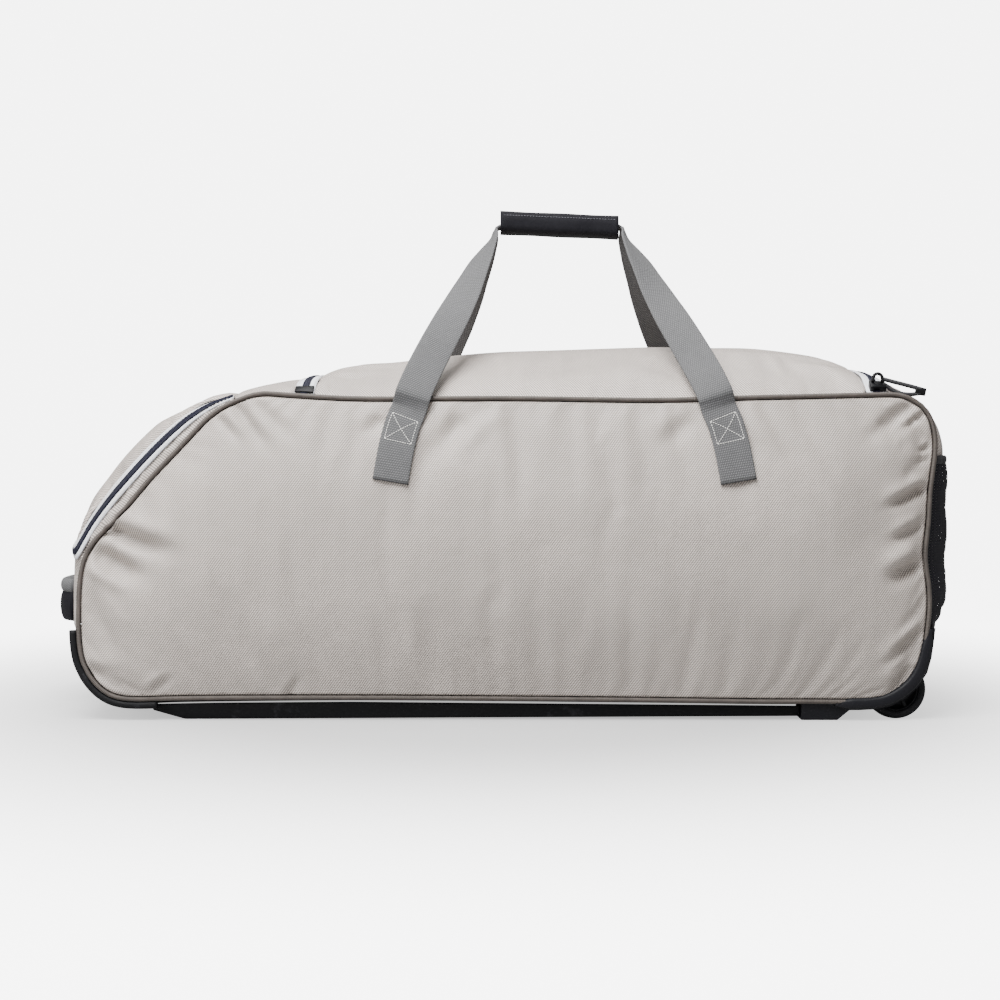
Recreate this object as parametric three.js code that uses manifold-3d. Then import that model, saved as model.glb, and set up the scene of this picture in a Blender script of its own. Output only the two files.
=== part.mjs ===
// A wheeled cricket kit bag: a soft, hollow duffel with a domed zipped lid, a sloping bat nose,
// twin carrying handles, a black base tray on runners, and two wheels in moulded corner housings.
// Millimetres. X runs from the nose to the wheels, Y from the front panel to the back, Z is up.

import * as THREE from 'three';
import { mergeVertices } from 'three/addons/utils/BufferGeometryUtils.js';
import Module from 'manifold-3d';

const wasm = await Module();
wasm.setup();

// Driving dimensions of the soft body
const bodyLength = 908;
const bodyHeight = 324;
const bodyDepth = 340;
const seamHeight = 23;
const clothWall = 2;
const panelBulge = 22;
const pipingRadius = 3.2;
const gap = 0.3;

// Zips
const lidTapeWidth = 20;
const noseTapeWidth = 9;
const tapeWall = 1.4;
const lidInset = 8;
const noseZipSpan = 0.985;
const trimInset = 2;
const tabLength = 20;
const tabReach = 11;
const tabWall = 3;
const sliderLength = 17;
const sliderReach = 9;
const sliderWall = 8;
const pullerLength = 34;
const pullerSpread = 7;
const pullerRadius = 1.7;

// Handles
const webbingWidth = 38;
const webbingWall = 2;
const handleCentre = 0.5667 * bodyLength;
const handleStance = 182;
const gripLift = 195;
const gripLength = 134;
const gripWidth = 40;
const gripHeight = 32;
const rolledWidth = 16;
const rolledWall = 7;
const endHandleReach = 30;
const endHandleSpan = 160;
const endGripWall = 4;

// Mesh pocket on the wheel end
const pocketWall = 1.5;
const pocketLift = 1;
const pocketFullness = 3;
const pocketWidth = 316;

// Base, wheels and housings
const runnerWidth = 22;
const runnerInset = 22;
const wheelRadius = 32;
const wheelWidth = 30;
const wheelInset = 38;
const hubRadius = 15;
const hubDish = 4;
const rimRound = 5;
const wheelSides = 24;
const axleRadius = 4;
const runningGap = 0.3;
const wellGap = 4;
const housingWall = 3;
const cheekWall = 3.5;
const guardWidth = 9.5;
const guardDepth = 20;
const footLength = 38;
const footSlope = 16;
const footSlopeRise = 13;

// Longest side of a facet, and how many facets cross the gusset
const facet = 36;
const gussetFacets = 8;

const frontSeam = bodyDepth / 2;
const gussetHalf = frontSeam - pipingRadius - gap;

// The seam line between a side panel and the gusset, clockwise from the lower nose corner.
// x is a share of the body's length and z of its height over the bottom seam. crown is how far
// the gusset bulges past the seam, as a share of the depth, and full how boxy that bulge is.
const seamRows = [
  { at: 'toe', x: 0.031, z: 0.018, crown: 0.064, full: 1 },
  { at: 'toe upper', x: 0.0134, z: 0.067, crown: 0.06, full: 1 },
  { at: 'nose low', x: 0.0029, z: 0.126, crown: 0.053, full: 1 },
  { at: 'nose wall', x: 0, z: 0.178, crown: 0.05, full: 1 },
  { at: 'tray top', x: 0, z: 0.2225, crown: 0.05, full: 1 },
  { at: 'end handle', x: 0, z: 0.292, crown: 0.05, full: 1 },
  { at: 'nose front', x: 0.0014, z: 0.4, crown: 0.05, full: 1 },
  { at: 'toe of zip', x: 0.0044, z: 0.459, crown: 0.055, full: 1.5 },
  { at: 'hook start', x: 0.0134, z: 0.517, crown: 0.075, full: 1.8 },
  { at: 'hook', x: 0.0282, z: 0.567, crown: 0.1, full: 1.8 },
  { at: 'hook end', x: 0.0549, z: 0.617, crown: 0.118, full: 1.8 },
  { at: 'slope low', x: 0.0817, z: 0.7168, crown: 0.122, full: 1.8 },
  { at: 'slope high', x: 0.1233, z: 0.833, crown: 0.115, full: 1.8 },
  { at: 'nose top', x: 0.1618, z: 0.95, crown: 0.07, full: 1.8 },
  { at: 'nose end', x: 0.1826, z: 0.979, crown: 0.03, full: 0.6 },
  { at: 'top left', x: 0.2062, z: 1, crown: 0.024, full: 0.4 },
  { at: 'lid left', x: 0.2435, z: 0.996, crown: 0.055, full: 0.2 },
  { at: 'lid low', x: 0.318, z: 0.984, crown: 0.103, full: 0.2 },
  { at: 'lid middle', x: 0.5, z: 0.985, crown: 0.146, full: 0.2 },
  { at: 'lid crown', x: 0.683, z: 0.979, crown: 0.167, full: 0.2 },
  { at: 'lid fall', x: 0.795, z: 0.988, crown: 0.154, full: 0.2 },
  { at: 'lid right', x: 0.894, z: 0.994, crown: 0.118, full: 0.2 },
  { at: 'lid end', x: 0.943, z: 0.997, crown: 0.062, full: 0.4 },
  { at: 'top right', x: 0.964, z: 0.994, crown: 0.03, full: 0.6 },
  { at: 'shoulder', x: 0.9907, z: 0.94, crown: 0.035, full: 0.8 },
  { at: 'end high', x: 1, z: 0.846, crown: 0.05, full: 1 },
  { at: 'pocket top', x: 0.9985, z: 0.787, crown: 0.053, full: 1 },
  { at: 'end waist', x: 0.9918, z: 0.637, crown: 0.06, full: 1 },
  { at: 'end middle', x: 0.9924, z: 0.555, crown: 0.062, full: 1 },
  { at: 'end pinch', x: 0.986, z: 0.454, crown: 0.078, full: 1 },
  { at: 'pocket foot', x: 0.9959, z: 0.343, crown: 0.042, full: 1 },
  { at: 'guard top', x: 0.9918, z: 0.2356, crown: 0.045, full: 1 },
  { at: 'heel high', x: 0.986, z: 0.1214, crown: 0.045, full: 1 },
  { at: 'heel', x: 0.9788, z: 0.0724, crown: 0.045, full: 1 },
  { at: 'heel round', x: 0.9651, z: 0.0333, crown: 0.045, full: 1 },
  { at: 'bottom right', x: 0.9453, z: 0.0007, crown: 0.042, full: 1 },
  { at: 'foot', x: 0.8453, z: -0.008, crown: 0.036, full: 1 },
  { at: 'belly right', x: 0.667, z: -0.003, crown: 0.036, full: 1 },
  { at: 'belly left', x: 0.318, z: 0.005, crown: 0.036, full: 1 },
  { at: 'runner start', x: 0.084, z: 0.001, crown: 0.042, full: 1 },
  { at: 'toe under', x: 0.0578, z: -0.003, crown: 0.05, full: 1 },
];

const seamCurve = new THREE.CatmullRomCurve3(
  seamRows.map((row) => new THREE.Vector3(row.x * bodyLength, 0, seamHeight + row.z * bodyHeight)),
  true,
  'centripetal',
);
seamCurve.arcLengthDivisions = seamRows.length * 40;
const seamLength = seamCurve.getLength();
const seamStations = seamRows.map((row, index) => seamCurve.getLengths()[index * 40]);

// How far along the seam a named row lies
function station(name) {
  return seamStations[seamRows.findIndex((row) => row.at === name)];
}

// A column of the seam table, read between its rows with an even slope
function seamValue(along, column) {
  let index = seamStations.findIndex((start) => start > along);
  if (index < 0) {
    index = seamRows.length;
  }
  const start = seamStations[index - 1];
  const end = index < seamRows.length ? seamStations[index] : seamLength;
  const share = THREE.MathUtils.smoothstep(along, start, end) * 0.5 + ((along - start) / (end - start)) * 0.5;
  const from = seamRows[index - 1][column];
  const to = seamRows[index % seamRows.length][column];
  return THREE.MathUtils.lerp(from, to, share);
}

// The seam point, its outward direction and the bulge at a distance along the seam
function seamAt(distance) {
  const along = THREE.MathUtils.euclideanModulo(distance, seamLength);
  const point = seamCurve.getPointAt(along / seamLength);
  const tangent = seamCurve.getTangentAt(along / seamLength);
  return {
    point,
    out: new THREE.Vector3(-tangent.z, 0, tangent.x),
    crown: seamValue(along, 'crown') * bodyDepth,
    full: seamValue(along, 'full'),
  };
}

// Height of the gusset over the seam line at a place across the bag
function gussetRise(seam, across) {
  const share = Math.min(1, Math.abs(across) / gussetHalf);
  const arched = (1 - share ** 3) ** 0.75;
  const boxy = (1 - share ** 4) ** 0.5;
  const upright = (1 - share ** 8) ** 0.5;
  const soft = THREE.MathUtils.lerp(arched, boxy, Math.min(1, seam.full));
  return seam.crown * THREE.MathUtils.lerp(soft, upright, Math.max(0, seam.full - 1));
}

// A point on the gusset's outer face, or lifted off it along its own slope
function gussetPoint(distance, across, lift = 0) {
  const seam = seamAt(distance);
  const reach = 1;
  const slope = (gussetRise(seam, across + reach) - gussetRise(seam, across - reach)) / (2 * reach);
  const lean = Math.hypot(1, slope);
  const point = seam.point.clone().addScaledVector(seam.out, gussetRise(seam, across) + lift / lean);
  point.y = across - (lift * slope) / lean;
  return point;
}

// Makes a closed shape watertight and turns its faces outwards
function closed(geometry) {
  geometry.deleteAttribute('normal');
  geometry.deleteAttribute('uv');
  const merged = mergeVertices(geometry, 1e-4);
  const at = merged.attributes.position;
  const index = merged.index.array;
  const corners = [new THREE.Vector3(), new THREE.Vector3(), new THREE.Vector3()];
  let volume = 0;
  for (let face = 0; face < index.length; face += 3) {
    corners.forEach((corner, turn) => corner.fromBufferAttribute(at, index[face + turn]));
    volume += corners[0].dot(corners[1].clone().cross(corners[2]));
  }
  if (volume < 0) {
    for (let face = 0; face < index.length; face += 3) {
      [index[face], index[face + 1]] = [index[face + 1], index[face]];
    }
  }
  return merged;
}

// Carries every vertex of a geometry to the place that a function gives
function shaped(geometry, place) {
  const at = geometry.attributes.position;
  for (let index = 0; index < at.count; index += 1) {
    const point = place(new THREE.Vector3().fromBufferAttribute(at, index));
    at.setXYZ(index, point.x, point.y, point.z);
  }
  return closed(geometry);
}

function mirrored(geometry) {
  return shaped(geometry.clone(), (at) => new THREE.Vector3(at.x, -at.y, at.z));
}

// A thin box of cells whose two broad faces are split along the same diagonals, so that the wall
// keeps its thickness where a cell is twisted
function sheetBox(long, wide) {
  const box = new THREE.BoxGeometry(1, 1, 1, long, wide, 1);
  const index = box.index.array;
  const under = box.groups[5];
  for (let cell = under.start; cell < under.start + under.count; cell += 6) {
    index[cell + 2] = index[cell + 4];
    index[cell + 3] = index[cell];
  }
  return box;
}

// Places along a path of rows, as row number plus share, no further apart than a facet
function pathSteps(rows) {
  const steps = [0];
  for (let row = 1; row < rows.length; row += 1) {
    const size = Math.hypot(rows[row].along - rows[row - 1].along, rows[row].across - rows[row - 1].across);
    const count = Math.max(1, Math.ceil(size / facet));
    for (let part = 1; part <= count; part += 1) {
      steps.push(row - 1 + part / count);
    }
  }
  return steps;
}

function rowAt(rows, step, column) {
  const row = Math.min(Math.floor(step), rows.length - 2);
  return THREE.MathUtils.lerp(rows[row][column], rows[row + 1][column], step - row);
}

// A cloth piece of the gusset between two edges, each a path of distances along and across
function gussetPiece(edge, farEdge, options = {}) {
  const { facets = gussetFacets, wall = clothWall, lift = () => 0, steps = pathSteps(edge) } = options;
  return shaped(sheetBox(steps.length - 1, facets), (at) => {
    const share = at.x + 0.5;
    const step = steps[Math.round(share * (steps.length - 1))];
    const side = facets > 2 ? (1 + Math.sin(Math.PI * at.y)) / 2 : at.y + 0.5;
    const along = THREE.MathUtils.lerp(rowAt(edge, step, 'along'), rowAt(farEdge, step, 'along'), side);
    const across = THREE.MathUtils.lerp(rowAt(edge, step, 'across'), rowAt(farEdge, step, 'across'), side);
    const raised = lift(share, side);
    return gussetPoint(along, across, at.z > 0 ? raised : raised - wall);
  });
}

// A gusset piece over its whole width, through the named rows
function gussetBand(names, { startGap = gap / 2, endGap = gap / 2, half = gussetHalf, ...options } = {}) {
  const stops = names.map((name) => station(name));
  for (let index = 1; index < stops.length; index += 1) {
    if (stops[index] < stops[index - 1]) {
      stops[index] += seamLength;
    }
  }
  stops[0] += startGap;
  stops[stops.length - 1] -= endGap;
  const edgeAt = (across) => stops.map((along) => ({ along, across }));
  return gussetPiece(edgeAt(-half), edgeAt(half), options);
}

// A side panel: a sheet stretched inside the piping, domed by the stuffing of the bag.
// Its dents are places as shares along and up the panel, with a size, slant and depth.
const panelDents = [
  { u: 0.06, v: 0.56, length: 0.09, width: 0.05, slant: -18, depth: 0.3 },
  { u: 0.03, v: 0.4, length: 0.08, width: 0.04, slant: -35, depth: -0.12 },
  { u: 0.12, v: 0.93, length: 0.05, width: 0.03, slant: -60, depth: 0.14 },
  { u: 0.95, v: 0.5, length: 0.06, width: 0.06, slant: 28, depth: 0.3 },
  { u: 0.95, v: 0.66, length: 0.07, width: 0.03, slant: 25, depth: 0.16 },
  { u: 0.94, v: 0.3, length: 0.08, width: 0.035, slant: 38, depth: 0.16 },
  { u: 0.3, v: 0.9, length: 0.04, width: 0.04, slant: 10, depth: 0.1 },
  { u: 0.74, v: 0.9, length: 0.04, width: 0.04, slant: -10, depth: 0.1 },
];

const panelArch = 2.4;

function panelHeight(u, v) {
  const ends = 1 - Math.abs(2 * u - 1) ** 7;
  const sides = 1 - Math.abs(2 * v - 1) ** panelArch;
  let height = panelBulge * ends * sides;
  for (const dent of panelDents) {
    const turn = THREE.MathUtils.degToRad(dent.slant);
    const right = (u - dent.u) * bodyLength;
    const up = (v - dent.v) * bodyHeight;
    const along = (right * Math.cos(turn) + up * Math.sin(turn)) / (dent.length * bodyLength);
    const across = (up * Math.cos(turn) - right * Math.sin(turn)) / (dent.width * bodyLength);
    height -= dent.depth * panelBulge * ends * sides ** 0.5 * Math.exp(-(along ** 2) - across ** 2);
  }
  return height;
}

function rimPoint(distance) {
  const seam = seamAt(distance);
  return seam.point.addScaledVector(seam.out, -pipingRadius - gap);
}

// The four sides of a side panel, from one named corner to the next, clockwise
const panelLong = Math.round(bodyLength / facet);
const panelTall = Math.round((bodyHeight / facet) * 1.35);
const panelSides = [
  { from: 'toe', to: 'top left', cells: panelTall, upright: true },
  { from: 'top left', to: 'shoulder', cells: panelLong },
  { from: 'shoulder', to: 'bottom right', cells: panelTall, upright: true },
  { from: 'bottom right', to: 'toe', cells: panelLong },
];

// Shares closer together at both ends, where the corners are round
function crowded(share) {
  return (share + (1 - Math.cos(Math.PI * share)) / 2) / 2;
}

// A place along one side of the panel: by height on the upright sides, by length on the others
function sidePlace(side, share) {
  const start = station(side.from);
  const end = station(side.to) > start ? station(side.to) : seamLength + station(side.to);
  if (!side.upright) {
    return THREE.MathUtils.lerp(start, end, share);
  }
  const height = THREE.MathUtils.lerp(seamAt(start).point.z, seamAt(end).point.z, share);
  let [low, high] = seamAt(start).point.z < seamAt(end).point.z ? [start, end] : [end, start];
  for (let halving = 0; halving < 24; halving += 1) {
    const middle = (low + high) / 2;
    [low, high] = seamAt(middle).point.z < height ? [middle, high] : [low, middle];
  }
  return (low + high) / 2;
}

function sidePanel() {
  const [left, top, right, bottom] = panelSides.map((side) => (share) => rimPoint(sidePlace(side, share)));
  return shaped(sheetBox(panelLong, panelTall), (at) => {
    const u = crowded(at.x + 0.5);
    const v = crowded(at.y + 0.5);
    const point = bottom(1 - u).multiplyScalar(1 - v);
    point.addScaledVector(top(u), v);
    point.addScaledVector(left(v), 1 - u);
    point.addScaledVector(right(1 - v), u);
    point.addScaledVector(left(0), -(1 - u) * (1 - v));
    point.addScaledVector(right(1), -u * (1 - v));
    point.addScaledVector(left(1), -(1 - u) * v);
    point.addScaledVector(right(0), -u * v);
    point.y = -frontSeam - panelHeight(u, v) - at.z * clothWall;
    return point;
  });
}

// A closed cord round a path: a ring whose angle becomes the distance round the path
function closedCord(round, sides, frameAt) {
  const ring = new THREE.TorusGeometry(2, 1, sides, round);
  return shaped(ring, (at) => {
    const turn = Math.atan2(at.y, at.x);
    const roll = Math.atan2(at.z, Math.hypot(at.x, at.y) - 2);
    return frameAt(THREE.MathUtils.euclideanModulo(turn / (2 * Math.PI), 1), roll);
  });
}

function piping() {
  const places = panelSides.flatMap((side) => {
    const shares = Array.from({ length: side.cells }, (unused, cell) => cell / side.cells);
    return shares.map((share) => sidePlace(side, crowded(share)));
  });
  return closedCord(places.length, 5, (share, roll) => {
    const seam = seamAt(places[Math.round(share * places.length) % places.length]);
    const point = seam.point.addScaledVector(seam.out, -pipingRadius * Math.cos(roll));
    point.y = -frontSeam - pipingRadius * Math.sin(roll);
    return point;
  });
}

// Lid and its U-shaped zip, which leaves the lid hinged along the front seam
const lidStart = station('lid left') + lidInset;
const lidEnd = station('lid end');
const tapeEdge = (inset, end) => [
  { along: lidStart + inset, across: -gussetHalf },
  { along: lidStart + inset, across: end - inset },
  { along: lidEnd - inset, across: end - inset },
  { along: lidEnd - inset, across: -gussetHalf },
];

function lid() {
  const start = lidStart + lidTapeWidth + gap;
  const end = lidEnd - lidTapeWidth - gap;
  const stops = [start, station('lid low'), station('lid middle'), station('lid crown')];
  stops.push(station('lid fall'), station('lid right'), end);
  const edgeAt = (across) => stops.map((along) => ({ along, across }));
  return gussetPiece(edgeAt(-gussetHalf), edgeAt(gussetHalf - lidTapeWidth - gap), { facets: 8 });
}

function lidZip() {
  const outer = tapeEdge(0, gussetHalf);
  const inner = tapeEdge(lidTapeWidth, gussetHalf);
  return gussetPiece(outer, inner, { facets: 1, wall: tapeWall });
}

// Bat nose: an outer band, a U-shaped zip round the toe, and the flap that it opens
const noseStart = station('tray top') + gap / 2;
const noseFinish = station('nose end');
const noseZipRows = { toe: station('toe of zip'), top: station('nose end') - gap / 2 };
const noseEdge = (inset) => [
  { along: noseZipRows.top, across: -(gussetHalf * noseZipSpan - inset) },
  { along: station('slope high'), across: -(gussetHalf * noseZipSpan - inset) },
  { along: noseZipRows.toe + inset, across: -(gussetHalf * noseZipSpan - inset) },
  { along: noseZipRows.toe + inset, across: gussetHalf * noseZipSpan - inset },
  { along: station('slope high'), across: gussetHalf * noseZipSpan - inset },
  { along: noseZipRows.top, across: gussetHalf * noseZipSpan - inset },
];

function noseBand() {
  const outer = [
    { along: noseFinish - gap / 2, across: -gussetHalf },
    { along: station('slope high'), across: -gussetHalf },
    { along: noseStart, across: -gussetHalf },
    { along: noseStart, across: gussetHalf },
    { along: station('slope high'), across: gussetHalf },
    { along: noseFinish - gap / 2, across: gussetHalf },
  ];
  const steps = pathSteps(noseEdge(0));
  return gussetPiece(outer, noseEdge(-gap), { facets: 2, wall: tapeWall, steps });
}

function noseFlap() {
  const edge = noseEdge(noseTapeWidth + gap);
  const near = [edge[2], edge[1], edge[0]];
  const far = [edge[3], edge[4], edge[5]];
  return gussetPiece(near, far, { steps: pathSteps(noseEdge(0).slice(0, 3).reverse()) });
}

// Facets of a strip between two of its rows
const stripParts = 2;

// A strip along rows of points, each with its turn, width, thickness and upward lean of its face
function strip(rows, facing, turnWay = 1) {
  const count = (rows.length - 1) * stripParts;
  const path = new THREE.CatmullRomCurve3(rows.map((row) => row.point), false, 'centripetal');
  return {
    count,
    frame: (share) => {
      const step = share * (rows.length - 1);
      const along = path.getTangent(share);
      const face = facing.clone().setZ(rowAt(rows, step, 'lean'));
      face.addScaledVector(along, -face.dot(along)).normalize();
      face.applyAxisAngle(along, THREE.MathUtils.degToRad(turnWay * rowAt(rows, step, 'turn')));
      return {
        point: path.getPoint(share),
        face,
        side: face.clone().cross(along),
        width: rowAt(rows, step, 'width'),
        wall: rowAt(rows, step, 'wall'),
      };
    },
  };
}

function stripSolid({ count, frame }) {
  return shaped(sheetBox(count, 1), (at) => {
    const { point, side, face, width, wall } = frame(at.x + 0.5);
    return point.addScaledVector(side, at.y * width).addScaledVector(face, at.z * wall);
  });
}

// An open-ended sleeve round a stretch of a strip. corner rows go round its section.
const sleeveCorners = [
  { a: 1, b: 0, round: 1 },
  { a: 1, b: 1, round: 0.84 },
  { a: 0, b: 1, round: 1 },
  { a: -1, b: 1, round: 0.84 },
  { a: -1, b: 0, round: 1 },
  { a: -1, b: -1, round: 0.84 },
  { a: 0, b: -1, round: 1 },
  { a: 1, b: -1, round: 0.84 },
];

function sleeve(frame, from, to, parts, inner, outer) {
  const profile = [];
  for (let part = 0; part <= parts; part += 1) {
    profile.push(new THREE.Vector2(2, part / parts));
  }
  for (let part = parts; part >= 0; part -= 1) {
    profile.push(new THREE.Vector2(1, part / parts));
  }
  profile.push(profile[0].clone());
  const tube = new THREE.LatheGeometry(profile, sleeveCorners.length);
  return shaped(tube, (at) => {
    const turn = Math.round((Math.atan2(at.x, at.z) / (2 * Math.PI)) * sleeveCorners.length);
    const corner = sleeveCorners[THREE.MathUtils.euclideanModulo(turn, sleeveCorners.length)];
    const outside = Math.hypot(at.x, at.z) > 1.5;
    const half = outside ? outer : inner;
    const round = outside ? corner.round : 1;
    const { point, side, face } = frame(THREE.MathUtils.lerp(from, to, at.y));
    point.addScaledVector(side, corner.a * half.width * round);
    return point.addScaledVector(face, corner.b * half.height * round);
  });
}

// One leg of a carrying handle, from its stitched foot on the panel up to the grip. out is a
// share of the stance, up of the lift over the top seam, and deep of half the bag's depth.
const topSeam = seamHeight + bodyHeight;
const legRows = [
  { out: 1, up: -0.477, panel: true, turn: 0, width: 1, wall: 0 },
  { out: 0.968, up: -0.3, panel: true, turn: 0, width: 1, wall: 0 },
  { out: 0.93, up: -0.16, panel: true, turn: 0, width: 1, wall: 0 },
  { out: 0.895, up: -0.08, panel: true, turn: 0, width: 1, wall: 0 },
  { out: 0.87, up: 0, deep: 1.055, turn: 0, width: 1, wall: 0 },
  { out: 0.78, up: 0.2, deep: 0.84, turn: 0, width: 1, wall: 0 },
  { out: 0.66, up: 0.43, deep: 0.6, turn: 14, width: 1, wall: 0 },
  { out: 0.575, up: 0.6, deep: 0.41, turn: 30, width: 0.95, wall: 0.05 },
  { out: 0.49, up: 0.78, deep: 0.24, turn: 50, width: 0.8, wall: 0.2 },
  { out: 0.42, up: 0.91, deep: 0.12, turn: 72, width: 0.4, wall: 0.25 },
  { out: 0.395, up: 0.975, deep: 0.05, turn: 89, width: 0, wall: 0.2 },
];

// How far out the panel lies under a strap, and how much it faces upwards there
function panelUnderStrap(height) {
  const low = rimPoint(station('belly left')).z;
  const high = rimPoint(station('lid low')).z;
  const rise = THREE.MathUtils.clamp((2 * (height - low)) / (high - low) - 1, -1, 1);
  return {
    away: frontSeam + panelBulge * (1 - Math.abs(rise) ** panelArch) + clothWall / 2,
    lean: (2 * panelArch * panelBulge * Math.abs(rise) ** (panelArch - 1)) / (high - low),
  };
}

const rolledSide = rolledWidth / 2 + 3 * gap;

function handlePath(way) {
  const leg = legRows.map((row) => {
    const height = topSeam + row.up * gripLift;
    const panel = panelUnderStrap(height);
    const onPanel = panel.away + 2 * gap + webbingWall / 2;
    const free = Math.max(rolledSide, (row.deep * bodyDepth) / 2);
    return {
      out: row.out * handleStance,
      height,
      away: row.panel ? onPanel : free,
      lean: row.panel ? panel.lean : 0,
      turn: row.turn,
      width: THREE.MathUtils.lerp(rolledWidth, webbingWidth, row.width),
      wall: THREE.MathUtils.lerp(webbingWall, rolledWall, row.wall),
    };
  });
  const rolled = { height: topSeam + gripLift, away: rolledSide, lean: 0, turn: 90, width: rolledWidth };
  leg.push({ ...rolled, out: gripLength * 0.47, wall: rolledWall * 0.5 });
  leg.push({ ...rolled, out: gripLength * 0.34, wall: rolledWall });
  const rows = leg.map((row) => ({ ...row, x: handleCentre - row.out }));
  rows.push({ ...rolled, x: handleCentre, wall: rolledWall });
  leg.reverse().forEach((row) => rows.push({ ...row, x: handleCentre + row.out }));
  const placed = rows.map((row) => ({ ...row, point: new THREE.Vector3(row.x, way * row.away, row.height) }));
  return strip(placed, new THREE.Vector3(0, way, 0), way);
}

function gripWrap() {
  const frame = (share) => ({
    point: new THREE.Vector3(handleCentre + (share - 0.5) * gripLength, 0, topSeam + gripLift),
    side: new THREE.Vector3(0, 1, 0),
    face: new THREE.Vector3(0, 0, 1),
  });
  const inner = { width: rolledSide + rolledWidth / 2 + 2 * gap, height: rolledWall / 2 + gap };
  return sleeve(frame, 0, 1, 2, inner, { width: gripWidth / 2, height: gripHeight / 2 });
}

// Grab handle across the nose, standing off the cloth, with a padded sleeve at its middle
const endHandleRows = [
  { across: -0.5, lift: 0 },
  { across: -0.43, lift: 0 },
  { across: -0.36, lift: 0.12 },
  { across: -0.29, lift: 0.5 },
  { across: -0.2, lift: 0.86 },
  { across: 0, lift: 1 },
];

// The rows of the whole handle between which the sleeve lies
const endGripRows = [3, 7];

function endHandlePath() {
  const flat = { lean: 0, turn: 0, width: webbingWidth, wall: webbingWall };
  const half = endHandleRows.map((row) => ({ ...row, ...flat }));
  const rest = half.slice(0, -1).reverse();
  const rows = [...half, ...rest.map((row) => ({ ...row, across: -row.across }))];
  const seat = gap * 3 + webbingWall / 2;
  const placed = rows.map((row) => ({
    ...row,
    point: gussetPoint(station('end handle'), row.across * endHandleSpan, seat + row.lift * endHandleReach),
  }));
  return strip(placed, new THREE.Vector3(-1, 0, 0));
}

function endGrip() {
  const { frame, count } = endHandlePath();
  const from = (endGripRows[0] * stripParts) / count;
  const to = (endGripRows[1] * stripParts) / count;
  const parts = (endGripRows[1] - endGripRows[0]) * stripParts;
  const inner = { width: webbingWidth / 2 + gap, height: webbingWall / 2 + gap };
  const outer = { width: inner.width + endGripWall, height: inner.height + endGripWall };
  return sleeve(frame, from, to, parts, inner, outer);
}

// Small black parts of the lid zip: the end tab, the slider and its cord pull
function smallPlate(centre, length, reach, wall, rise) {
  const edgeAt = (across) => [
    { along: centre - length / 2, across },
    { along: centre + length / 2, across },
  ];
  const lift = (share) => rise + wall * (1 - 0.25 * (2 * share - 1) ** 2);
  const start = -gussetHalf + trimInset;
  return gussetPiece(edgeAt(start), edgeAt(start + reach), { facets: 3, wall, lift });
}

function zipPuller() {
  const start = lidEnd + pullerRadius + gap;
  const end = start + pullerLength;
  const across = -gussetHalf + trimInset + sliderReach / 2;
  const rise = pullerRadius + 3 * gap;
  const loop = new THREE.CatmullRomCurve3(
    [
      { along: start, rise: rise + pullerSpread },
      { along: (start + end) / 2, rise: rise + pullerSpread * 1.2 },
      { along: end, rise: rise + pullerSpread * 1.1 },
      { along: end, rise: rise + pullerSpread * 0.45 },
      { along: (start + end) / 2, rise: rise + pullerSpread * 0.1 },
      { along: start, rise },
    ].map((row) => gussetPoint(row.along, across, row.rise)),
    true,
  );
  return closedCord(14, 5, (share, roll) => {
    const along = loop.getTangentAt(share);
    const side = new THREE.Vector3(0, 1, 0);
    const out = side.clone().cross(along).normalize();
    const point = loop.getPointAt(share).addScaledVector(out, pullerRadius * Math.cos(roll));
    return point.addScaledVector(side, -pullerRadius * Math.sin(roll));
  });
}

// Pocket of open mesh over the wheel end, a little fuller at its middle than at its bindings
function meshPocket() {
  const lift = (share, side) => {
    const swell = Math.sin(Math.PI * share) * Math.sin(Math.PI * side);
    return pocketLift + pocketWall + pocketFullness * swell;
  };
  const names = ['pocket top', 'end waist', 'end middle', 'end pinch', 'pocket foot'];
  return gussetBand(names, { half: pocketWidth / 2, wall: pocketWall, lift });
}

// A runner under the tray: its top follows the tray and its underside is a flat skid with a
// ramp at the nose. under is the skid's height as a share of the seam height.
const runnerRows = [
  { at: 'runner start', shift: 0, under: 0.42 },
  { at: 'runner start', shift: 0.038, under: 0 },
  { at: 'belly left', shift: 0, under: 0 },
  { at: 'belly right', shift: 0, under: 0.1 },
  { at: 'foot', shift: 0, under: 0.14 },
];

function runner() {
  const rows = runnerRows.map((row) => {
    const along = station(row.at) - row.shift * bodyLength;
    return { along, under: row.under };
  });
  rows[rows.length - 1].along += gap;
  const fine = [];
  rows.forEach((row, index) => {
    const next = rows[index + 1];
    const count = next ? Math.ceil(Math.abs(next.along - row.along) / facet) : 1;
    for (let part = 0; part < count; part += 1) {
      const share = part / count;
      fine.push({
        along: next ? THREE.MathUtils.lerp(row.along, next.along, share) : row.along,
        under: next ? THREE.MathUtils.lerp(row.under, next.under, share) : row.under,
      });
    }
  });
  const middle = -frontSeam + runnerInset;
  return shaped(sheetBox(fine.length - 1, 1), (at) => {
    const row = fine[Math.round((at.x + 0.5) * (fine.length - 1))];
    const point = gussetPoint(row.along, middle + at.y * runnerWidth, 0);
    point.y = middle + at.y * runnerWidth;
    point.z = at.z > 0 ? point.z - 3 * gap : row.under * seamHeight;
    return point;
  });
}

// Wheels and their housings
const wheelCentre = new THREE.Vector3(bodyLength - wheelInset, 0, wheelRadius);
const cheekInner = gussetHalf - cheekWall;
const wheelMiddle = cheekInner - wellGap / 2 - wheelWidth / 2;
const housingInner = wheelMiddle - wheelWidth / 2 - wellGap / 2 - housingWall;
const wellRadius = wheelRadius + wellGap;

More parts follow.
